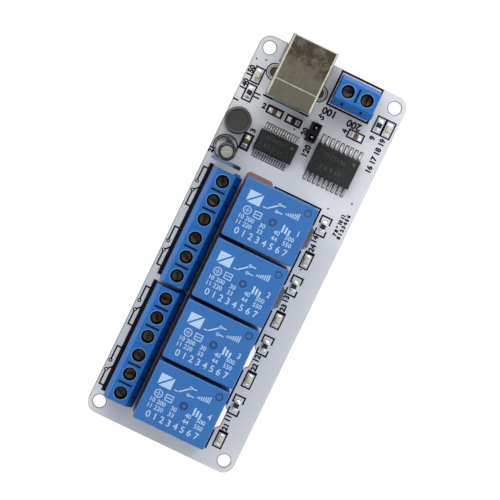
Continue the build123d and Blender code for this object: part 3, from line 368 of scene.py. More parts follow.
# plastic: colour, roughness, grain scale, mottle, bump depth in millimetres, dust, coat
# metal: colour, tarnish, how tarnished, cloud scale, roughness, bump depth in millimetres, dust
finish = {
    "coatedBoard": coatedLaminate(),
    "bareLaminate": plastic("bare laminate", (0.215, 0.11, 0.07), 0.6, 900.0, 0.4, 0.01, 0.03, shine=0.3),
    "rimBrown": plastic("dark brown rim", (0.10, 0.085, 0.07), 0.6, 2500.0, 0.3, 0.004, 0.02),
    "edgeGrey": plastic("grey edge line", (0.30, 0.31, 0.30), 0.6, 2500.0, 0.2, 0.004, 0.02),
    # painted shade: near-black round and between the chip leads and inside the small row boxes
    "leadShade": plastic("painted shade between leads", (0.012, 0.012, 0.014), 0.6, 3000.0, 0.3, 0.004, 0.005,
                          shine=0.2),
    # painted shade: a dark disc inside each socket tab ring
    "tabShade": plastic("painted tab shade", (0.035, 0.031, 0.024), 0.5, 1500.0, 0.6, 0.01, 0.01, shine=0.3),
    "boardInk": plastic("board ink", (0.002, 0.002, 0.003), 0.6, 5000.0, 0.1, 0.003, 0.004, spread=0.1,
                        shine=0.12),
    "relayInk": plastic("relay ink", (0.27, 0.39, 0.56), 0.5, 6000.0, 0.16, 0.003, 0.02, shine=0.3),
    "recessShade": plastic("recess blue", (0.004, 0.04, 0.13), 0.5, 3000.0, 0.1, 0.003, 0.0),
    "padTin": metal("pad tin", (0.86, 0.86, 0.85), (0.40, 0.39, 0.36), 0.12, 1500.0, 0.34),
    "solder": metal("solder", (0.84, 0.84, 0.84), (0.34, 0.34, 0.33), 0.12, 1200.0, 0.26),
    "relayBlue": plastic("relay case blue", (0.014, 0.094, 0.285), 0.42, 2600.0, 0.09, 0.006, 0.02,
                         shine=0.35),
    "terminalBlue": plastic("terminal blue", (0.012, 0.094, 0.31), 0.5, 2200.0, 0.09, 0.004, 0.01, shine=0.1),
    "terminalSeam": plastic("terminal seam blue", (0.008, 0.05, 0.17), 0.5, 2200.0, 0.09, 0.004, 0.01,
                            shine=0.1),
    # painted highlight: lighter blue on the raised rim round each well
    "terminalRimHighlight": plastic("terminal rim painted highlight", (0.06, 0.17, 0.34), 0.4, 2200.0, 0.09, 0.004, 0.02,
                           shine=0.3),
    "screwSteel": metal("screw steel", (0.19, 0.19, 0.14), (0.15, 0.07, 0.04), 0.3, 260.0, 0.45, 0.006, 0.02),
    "clampSteel": metal("clamp steel", (0.55, 0.55, 0.54), (0.22, 0.21, 0.19), 0.25, 700.0, 0.35),
    "nickelShell": metal("socket shell nickel", (0.335, 0.31, 0.24), (0.06, 0.05, 0.034), 0.42, 300.0, 0.3,
                         0.004, 0.01),
    # painted highlights: lighter metal along the socket shell's folds, front edge and seam
    "foldHighlight": metal("painted fold highlight", (0.47, 0.46, 0.39), (0.30, 0.28, 0.23), 0.2, 900.0, 0.42),
    "edgeHighlight": metal("painted edge highlight", (0.66, 0.65, 0.58), (0.42, 0.40, 0.34), 0.1, 900.0, 0.4),
    "socketPlastic": plastic("socket insulator", (0.72, 0.72, 0.70), 0.45),
    "gilt": metal("gilt", (0.82, 0.62, 0.28), (0.45, 0.33, 0.16), 0.2, 900.0, 0.25),
    "chipPlastic": plastic("chip plastic", (0.010, 0.0115, 0.0115), 0.55, 1500.0, 2.4, 0.012, 0.014,
                           spread=0.3, shine=0.15),
    "chipPrint": plastic("chip print", (0.032, 0.034, 0.033), 0.6, 1500.0, 1.6, 0.006, 0.01, shine=0.2),
    "chipMark": plastic("moulded chip mark", (0.035, 0.038, 0.036), 0.5, 1500.0, 0.5, 0.006, 0.02),
    "chipLead": metal("chip lead", (0.62, 0.62, 0.63), (0.16, 0.16, 0.16), 0.2, 1200.0, 0.28),
    "leadTin": metal("lead tin", (0.84, 0.84, 0.84), (0.42, 0.41, 0.39), 0.15, 1200.0, 0.3),
    "postTin": metal("post tin", (0.36, 0.35, 0.33), (0.16, 0.16, 0.15), 0.2, 900.0, 0.4),
    "ferrite": plastic("ferrite", (0.020, 0.021, 0.0205), 0.55, 1800.0, 0.6, 0.015, 0.015, spread=0.2,
                       shine=0.25),
    "sleeveBlack": plastic("choke sleeve", (0.018, 0.0185, 0.0185), 0.42, 900.0, 0.4, 0.01, 0.025,
                           spread=0.2),
    "canAluminium": metal("can aluminium", (0.43, 0.43, 0.39), (0.22, 0.22, 0.18), 0.4, 900.0, 0.42, 0.006),
    "capacitorSleeve": plastic("capacitor sleeve", (0.006, 0.010, 0.010), 0.22, 900.0, 0.4, 0.012, 0.0,
                               shine=0.45),
    "rubber": plastic("bung rubber", (0.02, 0.02, 0.02), 0.7),
    # real black plastic, and also the painted shade round the screw heads and in the pole grooves
    "blackPlasticAndShade": plastic("black plastic and painted shade", (0.003, 0.003, 0.004), 0.6, 2600.0, 0.3, 0.008, 0.003,
                            spread=0.2, shine=0.08),
    "resistorTop": plastic("resistor glaze", (0.010, 0.010, 0.012), 0.35, 4000.0, 0.3, 0.004, 0.02,
                           spread=0.1, shine=0.4),
    "capacitorBrown": plastic("ceramic brown", (0.088, 0.047, 0.018), 0.45, 3000.0, 0.3, 0.006, 0.03),
    "lightBase": plastic("light base", (0.46, 0.45, 0.38), 0.5),
    "lightLens": plastic("light lens", (0.44, 0.46, 0.33), 0.15, 2500.0, 0.3, 0.002, 0.03, 0.4),
    "copperWire": metal("copper wire", (0.72, 0.30, 0.14), (0.40, 0.17, 0.08), 0.2, 900.0, 0.3),
    "platedIron": metal("plated iron", (0.56, 0.56, 0.55), (0.25, 0.24, 0.22), 0.2, 500.0, 0.35),
    "springBronze": metal("spring bronze", (0.70, 0.45, 0.24), (0.35, 0.22, 0.12), 0.2, 700.0, 0.3),
}
# where along the board the shell grows darker, and the least and most share of its darker colour
shellDarkening = {"start": 42.0, "end": 51.5, "least": 0.2, "most": 0.95}


def tarnishAlong(material, start, end, least, most):
    # the darker share rises in a straight line from least at start to most at end
    tree = material.node_tree
    skin = next(node for node in tree.nodes if node.type == "GROUP" and node.node_tree == rolledMetal)
    place = tree.nodes.new("ShaderNodeTexCoord").outputs["Object"]
    rise = rampNode(tree, axesOf(tree, place)["Y"], start * mm, end * mm, least, most)
    wire(tree, rise.outputs["Result"], skin.inputs["Tarnished"])


tarnishAlong(finish["nickelShell"], **shellDarkening)
print("finishes made:", len(finish))


# Mesh helpers

meshLook = {
    "smoothAngle": 38,
    "sharpAngle": 32,
    "flatAngle": 0.6,
    "bevelSegments": 2,
    "mergeDistance": 0.002,
    "figureMerge": 0.0005,
    "figureSteps": 3,
}


def linked(name, data):
    # a new object in the scene, at the origin
    holder = bpy.data.objects.new(name, data)
    bpy.context.scene.collection.objects.link(holder)
    return holder


def meshPiece(name, points, faces, material, body="board", smooth=False):
    # points in millimetres as an N by 3 array, faces as lists of point numbers
    mesh = bpy.data.meshes.new(name)
    mesh.from_pydata((np.asarray(points, float) * mm).tolist(), [], [list(map(int, face)) for face in faces])
    mesh.validate()
    mesh.materials.append(finish[material])
    if smooth:
        mesh.polygons.foreach_set("use_smooth", np.ones(len(mesh.polygons), bool))
        mesh.set_sharp_from_angle(angle=math.radians(meshLook["smoothAngle"]))
    piece = linked(name, mesh)
    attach(piece, body)
    return piece


def softened(node, material, edge, turn=None):
    # a CAD node's own form with its triangles merged and its sharp edges rounded
    source = frame["nodes"][node]
    work = bmesh.new()
    work.from_mesh(source.data)
    bmesh.ops.remove_doubles(work, verts=work.verts, dist=meshLook["mergeDistance"] * mm)
    bmesh.ops.dissolve_limit(work, angle_limit=math.radians(meshLook["flatAngle"]), verts=work.verts,
                             edges=work.edges)
    if turn:
        turn(work)
    mesh = bpy.data.meshes.new(node + "_form")
    work.to_mesh(mesh)
    work.free()
    mesh.materials.clear()
    mesh.materials.append(finish[material])
    mesh.polygons.foreach_set("use_smooth", np.ones(len(mesh.polygons), bool))
    piece = linked(node + "_finish", mesh)
    rounding = piece.modifiers.new("rounded edges", "BEVEL")
    rounding.width = edge * mm
    rounding.segments = meshLook["bevelSegments"]
    rounding.limit_method = "ANGLE"
    rounding.angle_limit = math.radians(meshLook["sharpAngle"])
    rounding.use_clamp_overlap = True
    evening = piece.modifiers.new("even shading", "WEIGHTED_NORMAL")
    evening.keep_sharp = True
    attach(piece, source["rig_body"])
    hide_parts(node)
    return piece


class Batch:
    # gathers many small shapes into one mesh
    def __init__(self):
        self.points = []
        self.faces = []
        self.count = 0

    def add(self, points, faces):
        points = np.asarray(points, float)
        self.faces += [[corner + self.count for corner in face] for face in faces]
        self.points.append(points)
        self.count += len(points)

    def build(self, name, material, body="board", smooth=False):
        return meshPiece(name, np.concatenate(self.points), self.faces, material, body, smooth)


def prism(outline, low, high):
    # an outline (counter-clockwise) raised from low to high
    outline = np.asarray(outline, float)
    count = len(outline)
    bottom = np.column_stack([outline, np.full(count, low)])
    top = np.column_stack([outline, np.full(count, high)])
    ring = np.arange(count)
    after = np.roll(ring, -1)
    sides = np.column_stack([ring, after, after + count, ring + count]).tolist()
    return np.concatenate([bottom, top]), sides + [ring[::-1].tolist(), (ring + count).tolist()]


def inkLine(points, width, low, high, closed=False):
    # a line with mitred corners: each point moves along its mitre by half the width to each side
    points = np.asarray(points, float)
    ahead = np.roll(points, -1, 0) - points
    behind = points - np.roll(points, 1, 0)
    if not closed:
        ahead[-1] = behind[-1]
        behind[0] = ahead[0]
    ahead /= np.linalg.norm(ahead, axis=1)[:, None]
    behind /= np.linalg.norm(behind, axis=1)[:, None]
    mitre = ahead + behind
    mitre /= np.linalg.norm(mitre, axis=1)[:, None]
    across = np.column_stack([-mitre[:, 1], mitre[:, 0]])
    stretch = np.clip((across * np.column_stack([-ahead[:, 1], ahead[:, 0]])).sum(1), 0.4, 1.0)
    offset = across * (width / 2 / stretch)[:, None]
    left, right = points + offset, points - offset
    count = len(points)
    if not closed:
        return prism(np.concatenate([right, left[::-1]]), low, high)
    # closed: four rings (right low, left low, left high, right high) joined in turn
    rings = [(right, low), (left, low), (left, high), (right, high)]
    stacked = np.concatenate([np.column_stack([ring, np.full(count, level)]) for ring, level in rings])
    here = np.arange(count)
    after = np.roll(here, -1)
    faces = []
    for lower in range(4):
        upper = (lower + 1) % 4
        faces += np.column_stack([here + lower * count, here + upper * count, after + upper * count,
                                  after + lower * count]).tolist()
    return stacked, faces


def arcPoints(centre, radius, start, end, count=24):
    # the centre plus the radius times the cosine and sine of evenly spaced angles, given in degrees
    angle = np.radians(np.linspace(start, end, count))
    return np.column_stack([centre[0] + radius * np.cos(angle), centre[1] + radius * np.sin(angle)])


def circlePoints(centre, radius, count=32):
    return arcPoints(centre, radius, 0, 360 * (1 - 1 / count), count)


def rectangle(x0, y0, x1, y1):
    return [(x0, y0), (x1, y0), (x1, y1), (x0, y1)]


def roundedRectangle(x0, y0, x1, y1, radius, count=7):
    # a quarter arc at each corner, in turn
    corners = [((x1 - radius, y0 + radius), -90), ((x1 - radius, y1 - radius), 0),
               ((x0 + radius, y1 - radius), 90), ((x0 + radius, y0 + radius), 180)]
    return np.concatenate([arcPoints(centre, radius, start, start + 90, count) for centre, start in corners])


def numerals(text, x, y, size, low, high, turn=0.0, weight=0.0):
    # plain figures of Blender's own face, as slabs from low to high, centred on a place and turned about it
    curve = bpy.data.curves.new("figure", "FONT")
    curve.offset = weight
    curve.extrude = (high - low) / 2
    curve.body = text
    curve.size = size
    curve.align_x = "CENTER"
    curve.align_y = "CENTER"
    curve.resolution_u = meshLook["figureSteps"]
    holder = bpy.data.objects.new("figure", curve)
    mesh = bpy.data.meshes.new_from_object(holder)
    work = bmesh.new()
    work.from_mesh(mesh)
    bmesh.ops.remove_doubles(work, verts=work.verts, dist=meshLook["figureMerge"])
    bmesh.ops.recalc_face_normals(work, faces=work.faces)
    work.to_mesh(mesh)
    work.free()
    places = np.zeros(len(mesh.vertices) * 3)
    mesh.vertices.foreach_get("co", places)
    places = places.reshape(-1, 3)
    faces = [list(polygon.vertices) for polygon in mesh.polygons]
    bpy.data.objects.remove(holder)
    bpy.data.curves.remove(curve)
    bpy.data.meshes.remove(mesh)
    angle = math.radians(turn)
    cosine, sine = math.cos(angle), math.sin(angle)
    spin = np.array([[cosine, sine, 0], [-sine, cosine, 0], [0, 0, 1]])
    return places @ spin + (x, y, (low + high) / 2), faces


# Board with its print

boardLook = {
    "inkHeight": 0.02,
    "inkSink": 0.02,
    "padHeight": 0.03,
    "padSink": 0.04,
    "bareHeight": 0.012,
    "bareSink": 0.03,
    "windowSink": 0.05,
    "window": (-8.75, -47.5, -1.6, 18.9),
    "windowRadius": 1.0,
    "edgeRounding": 0.06,
    "edgeLineWidth": 0.28,
    "edgeLineEnd": -13.6,
    "cornerRadius": 3.0,
    "holePlace": (17.1, 48.4),
    "holeRadius": 1.6,
    "ringWidth": 0.16,
    "notchHalf": 3.15,
    "notchReach": 1.9,
    "notchLead": 1.0,
    "notchChamfer": 1.05,
}
softened("circuit_board", "coatedBoard", boardLook["edgeRounding"])
inkLow, inkHigh = boardTop - boardLook["inkSink"], boardTop + boardLook["inkHeight"]
padLow, padHigh = boardTop - boardLook["padSink"], boardTop + boardLook["padHeight"]
bareLow, bareHigh = boardTop - boardLook["bareSink"], boardTop + boardLook["bareHeight"]

window = Batch()
window.add(*prism(roundedRectangle(*boardLook["window"], boardLook["windowRadius"]),
                  boardTop - boardLook["windowSink"], bareHigh))
window.build("bare_laminate_window", "bareLaminate")

# along the left and the far edge a thin grey line lies just inside the edge
border = Batch()
inset = boardLook["edgeLineWidth"] / 2 + boardLook["edgeRounding"]
corner = boardLook["cornerRadius"]
bend = arcPoints((boardLow[0] + corner, boardHigh[1] - corner), corner - inset, 180, 90, 12)
edgeLine = np.concatenate([[(boardLow[0] + inset, boardLow[1] + corner)], bend,
                           [(boardLook["edgeLineEnd"], boardHigh[1] - inset)]])
border.add(*inkLine(edgeLine, boardLook["edgeLineWidth"], bareLow, bareHigh))
border.build("board_edge_line", "edgeGrey")

# all print: places in millimetres on the board, boxes by their low and high corner
printLook = {
    "boldWidth": 0.48,
    "relayCorner": (11.55, 18.1),
    "relayLineStart": -1.2,
    "relayLineEnd": 8.6,
    "notchGap": 0.3,
    "firstNotchGap": 0.2,
    "bars": ((-18.0, -13.7, -16.95, 16.65), (-18.0, -45.7, -16.95, -15.2)),
    "contactWidth": 0.4,
    "contactPitch": 16.4,
    "contactStart": 10.0,
    "contactStrokes": (((-17.7, 5.1), (-19.05, 5.1), (-19.05, 1.55)), ((-18.8, -1.05), (-17.7, 0.1)),
                       ((-19.05, -1.65), (-19.05, -5.2), (-17.7, -5.2))),
    "contactDots": ((-19.05, 1.2), (-19.05, -1.3)),
    "dotRadius": 0.36,
    "dotWidth": 0.28,
    "terminalBox": (1.6, 42.1, 12.6, 51.1),
    "outlineWidth": 0.38,
    "sideBoxes": ((-18.0, 39.0, -15.7, 43.0), (-18.0, 34.2, -15.75, 38.4), (9.4, 37.0, 13.4, 39.0),
                  (14.35, 40.8, 16.65, 45.0), (16.85, 40.8, 19.15, 45.0)),
    "rowBoxWidth": 0.26,
    "rowBoxes": ((-11.2, 33.8, -7.1, 35.8), (-6.0, 33.7, -2.0, 35.7), (-13.5, 23.0, -11.1, 27.2)),
    # beside each relay, up and down from its middle
    "openBoxWidth": 0.42,
    "openBox": (((13.0, 5.0), (12.6, 5.0), (12.6, 6.75), (15.2, 6.75), (15.2, 5.0)),
                ((12.6, 3.4), (12.6, 1.85), (15.2, 1.85), (15.2, 3.4))),
    "lightBox": (12.85, -7.15, 15.0, -2.95),
    "lightBoxEnd": (12.85, -3.5, 15.0, -2.95),
    "relayLabels": ((14, 13.5, 0.55), (24, 13.9, -1.7)),
    "relayLabelSize": 1.9,
    # round the socket and the capacitor
    "socketSide": ((-13.55, 46.4), (-13.55, 51.2)),
    "socketBack": ((-13.6, 37.3), (-1.2, 37.3)),
    "socketEnds": ((-13.6, 37.1, -11.0, 37.55), (-3.6, 37.1, -1.2, 37.55)),
    "hatch": ((-10.9, 37.4), (-10.65, 37.85)),
    "hatchPitch": 0.42,
    "hatchCount": 17,
    "hatchWidth": 0.13,
    "thinWidth": 0.16,
    "socketBackWidth": 0.24,
    "ringWidth": 0.3,
    "tabPlaces": ((-13.35, 43.6), (-1.35, 43.6)),
    "tabRadii": (2.12, 1.62),
    "capacitorPlace": (-16.4, 21.75),
    "capacitorRadii": (3.0, 2.65),
    "viaRadius": 0.22,
    "vias": ((-2.9, 33.0), (13.1, 19.0), (17.9, 22.6), (13.6, 2.5), (-18.9, 44.6), (-16.6, 45.3)),
    # figures, place, turn in degrees and size
    "labelWeight": 0.1,
    "labels": (("100", 3.1, 40.5, 180, 2.5), ("200", 9.9, 40.3, 180, 2.5), ("5", 1.9, 38.6, 60, 2.1),
               ("120", 2.1, 29.4, 90, 2.1), ("20", -0.3, 33.6, 90, 1.9), ("1", -19.1, 33.4, 90, 1.9),
               ("11", -14.7, 36.4, 90, 1.9), ("140", -18.8, 37.7, 90, 1.9), ("150", -18.8, 41.3, 90, 1.9),
               ("2", -12.1, 34.9, 0, 1.9), ("21", -19.2, 19.8, 90, 1.7), ("3", -11.9, 28.3, 90, 1.9),
               ("4", 8.5, 38.0, 90, 1.9), ("9", 15.4, 39.4, 90, 1.9), ("16 17 18 19", 18.0, 35.7, 90, 1.9),
               ("0 1 2 3 4 5 6", 18.6, 16.5, 90, 1.25), ("7 8 9 10 11", 17.4, 16.5, 90, 1.25)),
}
ink = Batch()


# strokes, filled boxes and figures of the print, moved up the board by a distance
def line(points, width, closed=False, up=0.0):
    ink.add(*inkLine(np.asarray(points, float) + (0, up), width, inkLow, inkHigh, closed))


def patch(box, up=0.0):
    ink.add(*prism(np.asarray(rectangle(*box), float) + (0, up), inkLow, inkHigh))


def label(text, x, y, turn, size):
    ink.add(*numerals(text, x, y, size, inkLow, inkHigh, turn, printLook["labelWeight"]))


# relay outline: top line, right line broken at the notches
relayRight, relayTop = printLook["relayCorner"]
notchHalf = boardLook["notchHalf"]
gap = notchHalf + printLook["notchGap"]
line([(printLook["relayLineStart"], relayTop), (relayRight, relayTop),
      (relayRight, relayMiddles[0][1] + notchHalf + printLook["firstNotchGap"])], printLook["boldWidth"])
for upper, lower in zip(relayMiddles[:-1], relayMiddles[1:]):
    line([(relayRight, upper[1] - gap), (relayRight, lower[1] + gap)], printLook["boldWidth"])
line([(relayRight, relayMiddles[-1][1] - gap), (relayRight, relayMiddles[-1][1] - printLook["relayLineEnd"])],
     printLook["boldWidth"])

# bars along the screw terminals and a changeover contact a relay
for box in printLook["bars"]:
    patch(box)
for number in range(4):
    middle = printLook["contactStart"] - number * printLook["contactPitch"]
    for stroke in printLook["contactStrokes"]:
        line(stroke, printLook["contactWidth"], up=middle)
    for dot in printLook["contactDots"]:
        line(circlePoints(dot, printLook["dotRadius"], 20), printLook["dotWidth"], True, middle)

# outlines round the single parts
line(rectangle(*printLook["terminalBox"]), printLook["boldWidth"], True)
for box in printLook["sideBoxes"]:
    line(rectangle(*box), printLook["outlineWidth"], True)
for box in printLook["rowBoxes"]:
    line(rectangle(*box), printLook["rowBoxWidth"], True)
for number, middle in enumerate(relayMiddles):
    # resistor box open at its sides, light box with a bold end, and a figure for each
    for stroke in printLook["openBox"]:
        line(stroke, printLook["openBoxWidth"], up=middle[1])
    line(rectangle(*printLook["lightBox"]), printLook["outlineWidth"], True, middle[1])
    patch(printLook["lightBoxEnd"], middle[1])
    for highest, x, up in printLook["relayLabels"]:
        label(str(highest - number), x, middle[1] + up, 90, printLook["relayLabelSize"])

# socket outline with its hatching, rings at the tabs and the capacitor, and plain figures
line(printLook["socketSide"], printLook["thinWidth"])
line(printLook["socketBack"], printLook["socketBackWidth"])
for box in printLook["socketEnds"]:
    patch(box)
for step in range(printLook["hatchCount"]):
    line(np.asarray(printLook["hatch"]) + (step * printLook["hatchPitch"], 0), printLook["hatchWidth"])
for tab in printLook["tabPlaces"]:
    for radius, width in zip(printLook["tabRadii"], (printLook["ringWidth"], printLook["thinWidth"])):
        line(circlePoints(tab, radius, 36), width, True)
outer, inner = printLook["capacitorRadii"]
line(circlePoints(printLook["capacitorPlace"], outer, 48), printLook["ringWidth"], True)
line(arcPoints(printLook["capacitorPlace"], inner, 60, 190, 30), printLook["thinWidth"])
for row in printLook["labels"]:
    label(*row)
ink.build("board_print", "boardInk")
print("board print made:", ink.count, "points")

# tinned pads and solder under the small parts and the chip leads, painted shade between them
padLook = {
    "rounding": 0.08,
    # chip leads: node, pitch, leads a side, pad width and length, setback from the middle, ring of painted
    # shade
    "leadRows": (("data_chip_leads", 0.65, 14, 0.27, 1.4, 3.75, 0.19),
                 ("driver_chip_leads", 1.27, 9, 0.56, 1.9, 4.95, 0.22)),
    "rowShadeHeight": 0.6 * boardLook["bareHeight"],
    "tabRing": (1.4, 0.26),
    "tabRadius": 1.3,
    "patchLength": 1.2,
    "patchWidth": 1.3,
    "patchSetback": 1.05,
    "filletWidth": 1.2,
    "filletReach": 0.5,
    "filletStart": 1.0,
    "filletHeights": {"chip_resistors": 0.42, "chip_capacitors": 0.7, "lights": 0.3},
}
# place and turn of each small part: those of the relays first, then the single ones
smallParts = {
    "chip_resistors": [(13.9, middle[1] + 4.2, 90) for middle in relayMiddles]
    + [(15.5, 42.9, 90), (-16.85, 36.3, 90), (-4.0, 34.7, 0)],
    "chip_capacitors": [(-9.15, 34.7, 0), (-12.3, 25.1, 90), (11.4, 38.0, 0)],
    "lights": [(13.9, middle[1] - 5.1, 90) for middle in relayMiddles]
    + [(18.0, 42.9, 90), (-16.85, 41.0, 90)],
}
pads, ground, solder, tabs = Batch(), Batch(), Batch(), Batch()


def solderPatch(x, y, width, length):
    # a tinned rectangle with rounded corners about a place
    outline = roundedRectangle(x - width / 2, y - length / 2, x + width / 2, y + length / 2,
                               padLook["rounding"], 3)
    pads.add(*prism(outline, padLow, padHigh))


def leadPads(node, pitch, count, width, length, setback, gap):
    # a pad a lead, and round each pad a ring of painted shade, wider on its left, that shows as a dark
    # outline
    low, high = boxOf(node)
    middle = (low + high) / 2
    for side in (-1, 1):
        y = middle[1] + side * setback
        for place in range(count):
            x = middle[0] + (place - (count - 1) / 2) * pitch
            ring = rectangle(x - width / 2 - gap, y - length / 2 - gap, x + width / 2 + gap / 2,
                             y + length / 2 + gap)
            ground.add(*prism(ring, bareLow, bareHigh))
            solderPatch(x, y, width, length)


def solderFillet(x, y, direction, width, reach, height, start):
    # height falls as the square of the distance from the part's end, and rounds off to both sides
    v, u = np.meshgrid(np.linspace(0, 1, 7), np.linspace(-1, 1, 9), indexing="ij")
    rise = height * (1 - v) ** 2 * (1 - 0.35 * u ** 4) * np.where(np.abs(u) > 0.99, 0.25, 1.0)
    forward = start + reach * v * (1 - 0.25 * u ** 2)
    cross = width / 2 * u * (1 - 0.12 * v)
    cosine, sine = math.cos(math.radians(direction)), math.sin(math.radians(direction))
    upper = np.column_stack([(x + forward * cosine - cross * sine).ravel(),
                             (y + forward * sine + cross * cosine).ravel(),
                             (padHigh + rise).ravel()])
    lower = upper.copy()
    lower[:, 2] = padLow
    total = v.size
    index = np.arange(total).reshape(v.shape)
    quads = np.stack([index[:-1, :-1], index[1:, :-1], index[1:, 1:], index[:-1, 1:]], -1).reshape(-1, 4)
    rim = np.concatenate([index[0, :-1], index[:-1, -1], index[-1, :0:-1], index[:0:-1, 0]])
    after = np.roll(rim, -1)
    walls = np.column_stack([rim, after, after + total, rim + total])
    faces = np.concatenate([quads, quads[:, ::-1] + total, walls])
    solder.add(np.concatenate([upper, lower]), faces.tolist())


for row in padLook["leadRows"]:
    leadPads(*row)
for box in printLook["rowBoxes"]:
    # painted shade inside each small row box, round its part
    ground.add(*prism(rectangle(*box), bareLow, boardTop + padLook["rowShadeHeight"]))
for kind, places in smallParts.items():
    for x, y, turn in places:
        for direction in (turn, turn + 180):
            cosine, sine = math.cos(math.radians(direction)), math.sin(math.radians(direction))
            size = (padLook["patchLength"], padLook["patchWidth"])
            if turn == 90:
                size = size[::-1]
            solderPatch(x + cosine * padLook["patchSetback"], y + sine * padLook["patchSetback"], *size)
            solderFillet(x, y, direction, padLook["filletWidth"], padLook["filletReach"],
                         padLook["filletHeights"][kind], padLook["filletStart"])
for tab in printLook["tabPlaces"]:
    radius, width = padLook["tabRing"]
    pads.add(*inkLine(circlePoints(tab, radius, 36), width, padLow, padHigh, True))
    # a disc of painted shade inside the tin ring
    tabs.add(*prism(circlePoints(tab, padLook["tabRadius"], 36), padLow, padHigh))
solder.build("part_solder", "solder", smooth=True)
tabs.build("tab_shade", "tabShade")
pads.build("board_pads", "padTin")
ground.build("lead_shade", "leadShade")

# thin dark brown rims round the mounting holes and the notches
rims = Batch()
rimOut = boardLook["edgeRounding"] + boardLook["ringWidth"] / 2
for side in (-1, 1):
    for end in (-1, 1):
        hole = (side * boardLook["holePlace"][0], end * boardLook["holePlace"][1])
        rims.add(*inkLine(circlePoints(hole, boardLook["holeRadius"] + rimOut, 48), boardLook["ringWidth"],
                          bareLow, bareHigh, True))
notchStart = relayRight - boardLook["notchLead"]
notchEnd = relayBoxes[0][1][0] + boardLook["notchReach"]
notchBend = notchEnd - boardLook["notchChamfer"]
for middle in relayMiddles:
    notchLow, notchHigh = middle[1] - notchHalf, middle[1] + notchHalf
    rims.add(*inkLine([(notchStart, notchHigh + rimOut), (notchBend, notchHigh + rimOut),
                       (notchEnd + rimOut, notchHigh - boardLook["notchChamfer"]),
                       (notchEnd + rimOut, notchLow + boardLook["notchChamfer"]),
                       (notchBend, notchLow - rimOut), (notchStart, notchLow - rimOut)],
                      boardLook["ringWidth"], bareLow, bareHigh))
rims.build("dark_rims", "rimBrown")

vias = Batch()
for place in printLook["vias"]:
    vias.add(*prism(circlePoints(place, printLook["viaRadius"], 16), inkLow, inkHigh))
vias.build("via_dots", "boardInk")


# Relay tops: generic contact diagram, bars and plain figures

relayLook = {
    "rounding": 0.1,
    "inkHeight": 0.015,
    "inkSink": 0.02,
    "figureWeight": 0.02,
    # places from the middle of the top; coil field split by a slash
    "coil": (((-7.6, 2.3), (-4.6, 5.1), (-7.6, 5.1)), ((-7.2, 2.1), (-4.0, 2.1), (-4.0, 5.1))),
    # ends and width of each stroke of the contact and of the marks
    "strokes": ((((-3.2, 2.6), (-2.2, 2.6)), 0.26), (((-2.0, 2.7), (0.0, 4.3)), 0.34),
                (((0.75, 4.75), (1.9, 4.75)), 0.26), (((0.75, 2.9), (1.9, 2.9)), 0.26),
                (((-6.2, -0.4), (-6.2, 0.8)), 0.2), (((-6.8, 0.2), (-5.6, 0.2)), 0.2),
                (((-4.3, 0.15), (-2.5, 0.15)), 0.2)),
    # middle, radius, width and corners of each ring
    "rings": (((0.35, 4.75), 0.3, 0.2, 18), ((0.35, 2.9), 0.3, 0.2, 18), ((-6.2, 0.2), 0.95, 0.22, 28)),
    "box": (-4.3, -0.6, -2.5, 0.9),
    "boxWidth": 0.22,
    # graded rows of bars: how many, the first one, the step to the next and its rise
    "bars": ((7, (2.6, 3.1, 2.86, 3.6), 0.5, 0.2), (3, (3.3, -1.1, 3.8, 0.9), 0.85, -0.35)),
    # rows of plain figures, like a scale: text, place and size
    "figures": (("10 200", -5.6, -1.75, 1.55), ("11 220", -5.6, -3.3, 1.55), ("30", -1.3, -1.75, 1.55),
                ("33", -1.3, -3.3, 1.55), ("40", 2.6, -1.75, 1.55), ("44", 2.6, -3.3, 1.55),
                ("500", 6.0, -1.75, 1.55), ("550", 6.0, -3.3, 1.55), ("0 1 2 3 4 5 6 7", 0.0, -5.4, 2.35)),
    "number": (7.4, 0.2, 2.0),
    # the two moulded recesses: shaded floors, and a light dot in the vent
    "recessLow": 0.22,
    "recessHigh": 0.185,
    "ejectorInset": (2.1, 2.0),
    "ejectorRing": (0.82, 0.34),
    "ventPlace": (0.6, 0.0),
    "ventRing": (0.74, 0.56),
    "ventDot": 0.15,
}
recess = Batch()


def relayPrint(number, low, high):
    # all print of one relay, measured from the middle of its top, and the floors of its two recesses
    middle, level = ((low + high) / 2)[:2], high[2]
    bottom, top = level - relayLook["inkSink"], level + relayLook["inkHeight"]
    recessLow, recessHigh = level - relayLook["recessLow"], level - relayLook["recessHigh"]
    batch = Batch()
    for corners in relayLook["coil"]:
        batch.add(*prism(middle + corners, bottom, top))
    for ends, width in relayLook["strokes"]:
        batch.add(*inkLine(middle + ends, width, bottom, top))
    for place, radius, width, count in relayLook["rings"]:
        batch.add(*inkLine(middle + circlePoints(place, radius, count), width, bottom, top, True))
    batch.add(*inkLine(middle + rectangle(*relayLook["box"]), relayLook["boxWidth"], bottom, top, True))
    for count, (x0, y0, x1, y1), pitch, rise in relayLook["bars"]:
        for step in range(count):
            bar = rectangle(x0 + step * pitch, y0, x1 + step * pitch, y1 + step * rise)
            batch.add(*prism(middle + bar, bottom, top))
    for text, x, y, size in (*relayLook["figures"], (str(number), *relayLook["number"])):
        batch.add(*numerals(text, middle[0] + x, middle[1] + y, size, bottom, top, 0.0,
                            relayLook["figureWeight"]))
    ejector = high[:2] - relayLook["ejectorInset"]
    vent = middle + relayLook["ventPlace"]
    for place, (radius, width) in ((ejector, relayLook["ejectorRing"]), (vent, relayLook["ventRing"])):
        recess.add(*inkLine(circlePoints(place, radius, 32), width, recessLow, recessHigh, True))
    batch.add(*prism(circlePoints(vent, relayLook["ventDot"], 16), recessLow, recessHigh))
    batch.build(f"relay_print_{number}", "relayInk")


for number, (low, high) in enumerate(relayBoxes, 1):
    softened(f"relay_case_{number}", "relayBlue", relayLook["rounding"])
    relayPrint(number, low, high)
recess.build("recess_shade", "recessShade")
print("relays dressed")


# Screw terminals

